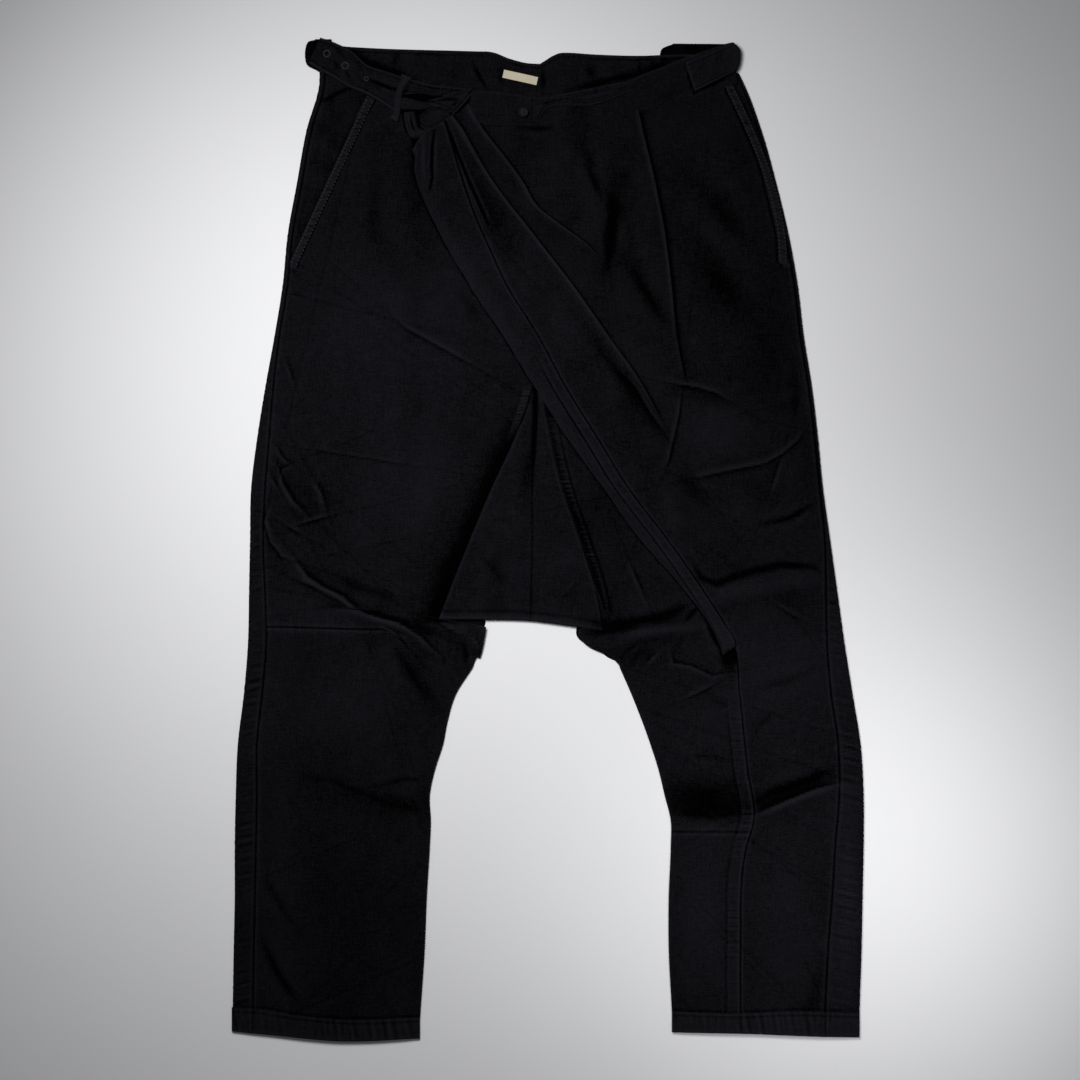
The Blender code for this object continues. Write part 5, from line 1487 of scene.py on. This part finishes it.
# %% What each sheet was cut to
SHEETS = (
    # name, width and length it was cut to, share of that rectangle, hold, what it lies on, its trims
    ("back_right", 440, 940, 0.56, "laid", "", "stitches_outseam_right"),
    ("back_left", 420, 930, 0.58, "laid", "", "stitches_outseam_left"),
    ("front_right_upper", 280, 560, 0.62, "laid", "back_right", "stitches_pocket_right"),
    ("front_right_lower", 240, 400, 0.75, "laid", "back_right", ""),
    ("front_left", 420, 940, 0.41, "laid", "back_left", "stitches_pocket_left"),
    ("wrap_fold", 50, 620, 0.69, "folded", "front_right_upper crotch_and_inner_leg", "stitches_wrap"),
    ("crotch_and_inner_leg", 220, 430, 0.44, "laid", "back_left", "stitches_gusset stitches_inseam_upper"),
    ("inner_leg_lower", 100, 190, 0.85, "laid", "back_left", "stitches_inseam_lower"),
    ("gusset", 190, 260, 0.45, "laid", "back_right back_left", ""),
    ("hem_right", 370, 40, 1, "folded", "", "stitches_hem_right"),
    ("hem_left", 370, 40, 1, "folded", "", "stitches_hem_left"),
    ("back_band_right", 210, 50, 1, "laid", "back_right", ""),
    ("back_band_left", 190, 50, 1, "laid", "back_left", ""),
    ("pocket_facing_right", 50, 190, 0.7, "laid", "back_right", ""),
    ("pocket_facing_left", 20, 180, 0.72, "laid", "back_left", ""),
    ("strap_right", 40, 170, 0.8, "folded", "pocket_facing_right back_band_right", "eyelets"),
    ("front_band", 35, 65, 1, "laid", "front_left", "button"),
    ("band_roll", 28, 100, 0.9, "folded", "front_left", ""),
    ("band_left", 50, 115, 0.89, "laid", "front_left", ""),
    ("strap_hollow", 50, 55, 0.69, "folded", "front_right_upper", ""),
    ("strap_end", 18, 52, 0.95, "folded", "strap_hollow", ""),
    ("strap_tip", 22, 46, 0.9, "folded", "strap_right", ""),
    ("strap_tail", 22, 38, 0.95, "folded", "strap_hollow", ""),
    ("strap_twist", 24, 30, 0.97, "folded", "strap_hollow", ""),
    ("side_strap_right", 35, 45, 0.95, "folded", "strap_right", ""),
    ("side_strap_left", 45, 90, 0.96, "folded", "back_band_left", ""),
    ("belt_loop", 14, 60, 0.95, "folded", "strap_right", ""),
    ("label", 12, 34, 0.9, "laid", "back_band_right", ""),
)


by_name = {piece.name: piece for piece in made_pieces}
for name, width, length, share, hold, under, carried in SHEETS:
    piece, area = by_name[f"cloth_{name}"], share * width * length * MM ** 2
    None if share == 1 else area
    print(f"{name}: {sum(face.area for face in piece.data.polygons) / area:.2f} of the cut shows")

# %% [markdown]
# The trousers lie on a pale floor with a slight sheen. Two broad lamps make the pools of
# light on it: one at the left and one at the lower right.

# %% Floor, lamps and camera
def floor():
    """A large pale floor."""
    mesh = bpy.data.meshes.new("floor")
    mesh.from_pydata([(-3, -3, 0), (3, -3, 0), (3, 3, 0), (-3, 3, 0)], [], [(0, 1, 2, 3)])
    material, shader, graph = new_material("pale painted floor")
    cloud = graph.noise(graph.node("TexCoord", output=3), 5.0, 3.0)
    feed(shader, graph, Base_Color=tint(graph, cloud, (0.78, 0.78, 0.80, 1), (0.82, 0.82, 0.835, 1)),
         Roughness=0.5 + (cloud - 0.5) * 0.1)
    mesh.materials.append(material)
    piece = bpy.data.objects.new("floor", mesh)
    bpy.context.scene.collection.objects.link(piece)


def lamp(name, place, aim, power, size, beam):
    """A square lamp aimed at a point, with its beam in degrees; places in metres."""
    light = bpy.data.lights.new(name, "AREA")
    light.energy, light.size, light.spread = power, size, math.radians(beam)
    made = bpy.data.objects.new(name, light)
    made.location = place
    made.rotation_euler = (Vector(aim) - Vector(place)).to_track_quat("-Z", "Y").to_euler()
    bpy.context.scene.collection.objects.link(made)


floor()
lamp("key lamp", (-0.35, 0.45, 1.1), (0.0, -0.05, 0), 4.25, 0.5, 90)
lamp("low lamp", (0.38, -0.30, 0.8), (0.33, -0.34, 0), 0.37, 0.3, 55)

world = bpy.data.worlds.new("room")
world.use_nodes = True
world.node_tree.nodes["Background"].inputs["Color"].default_value = (0.9, 0.93, 1.0, 1)
world.node_tree.nodes["Background"].inputs["Strength"].default_value = 0.085
bpy.context.scene.world = world

CAMERA_HEIGHT = 2.6     # metres
FIELD = 1.0584          # metres of floor across the view
SENSOR = 36             # millimetres, the width that a lens is measured against
camera = bpy.data.objects.new("camera", bpy.data.cameras.new("camera"))
camera.location = (-0.008, 0.0, CAMERA_HEIGHT)
camera.data.lens = SENSOR * CAMERA_HEIGHT / FIELD
bpy.context.scene.collection.objects.link(camera)
bpy.context.scene.camera = camera
bpy.context.scene.view_settings.view_transform = "Standard"
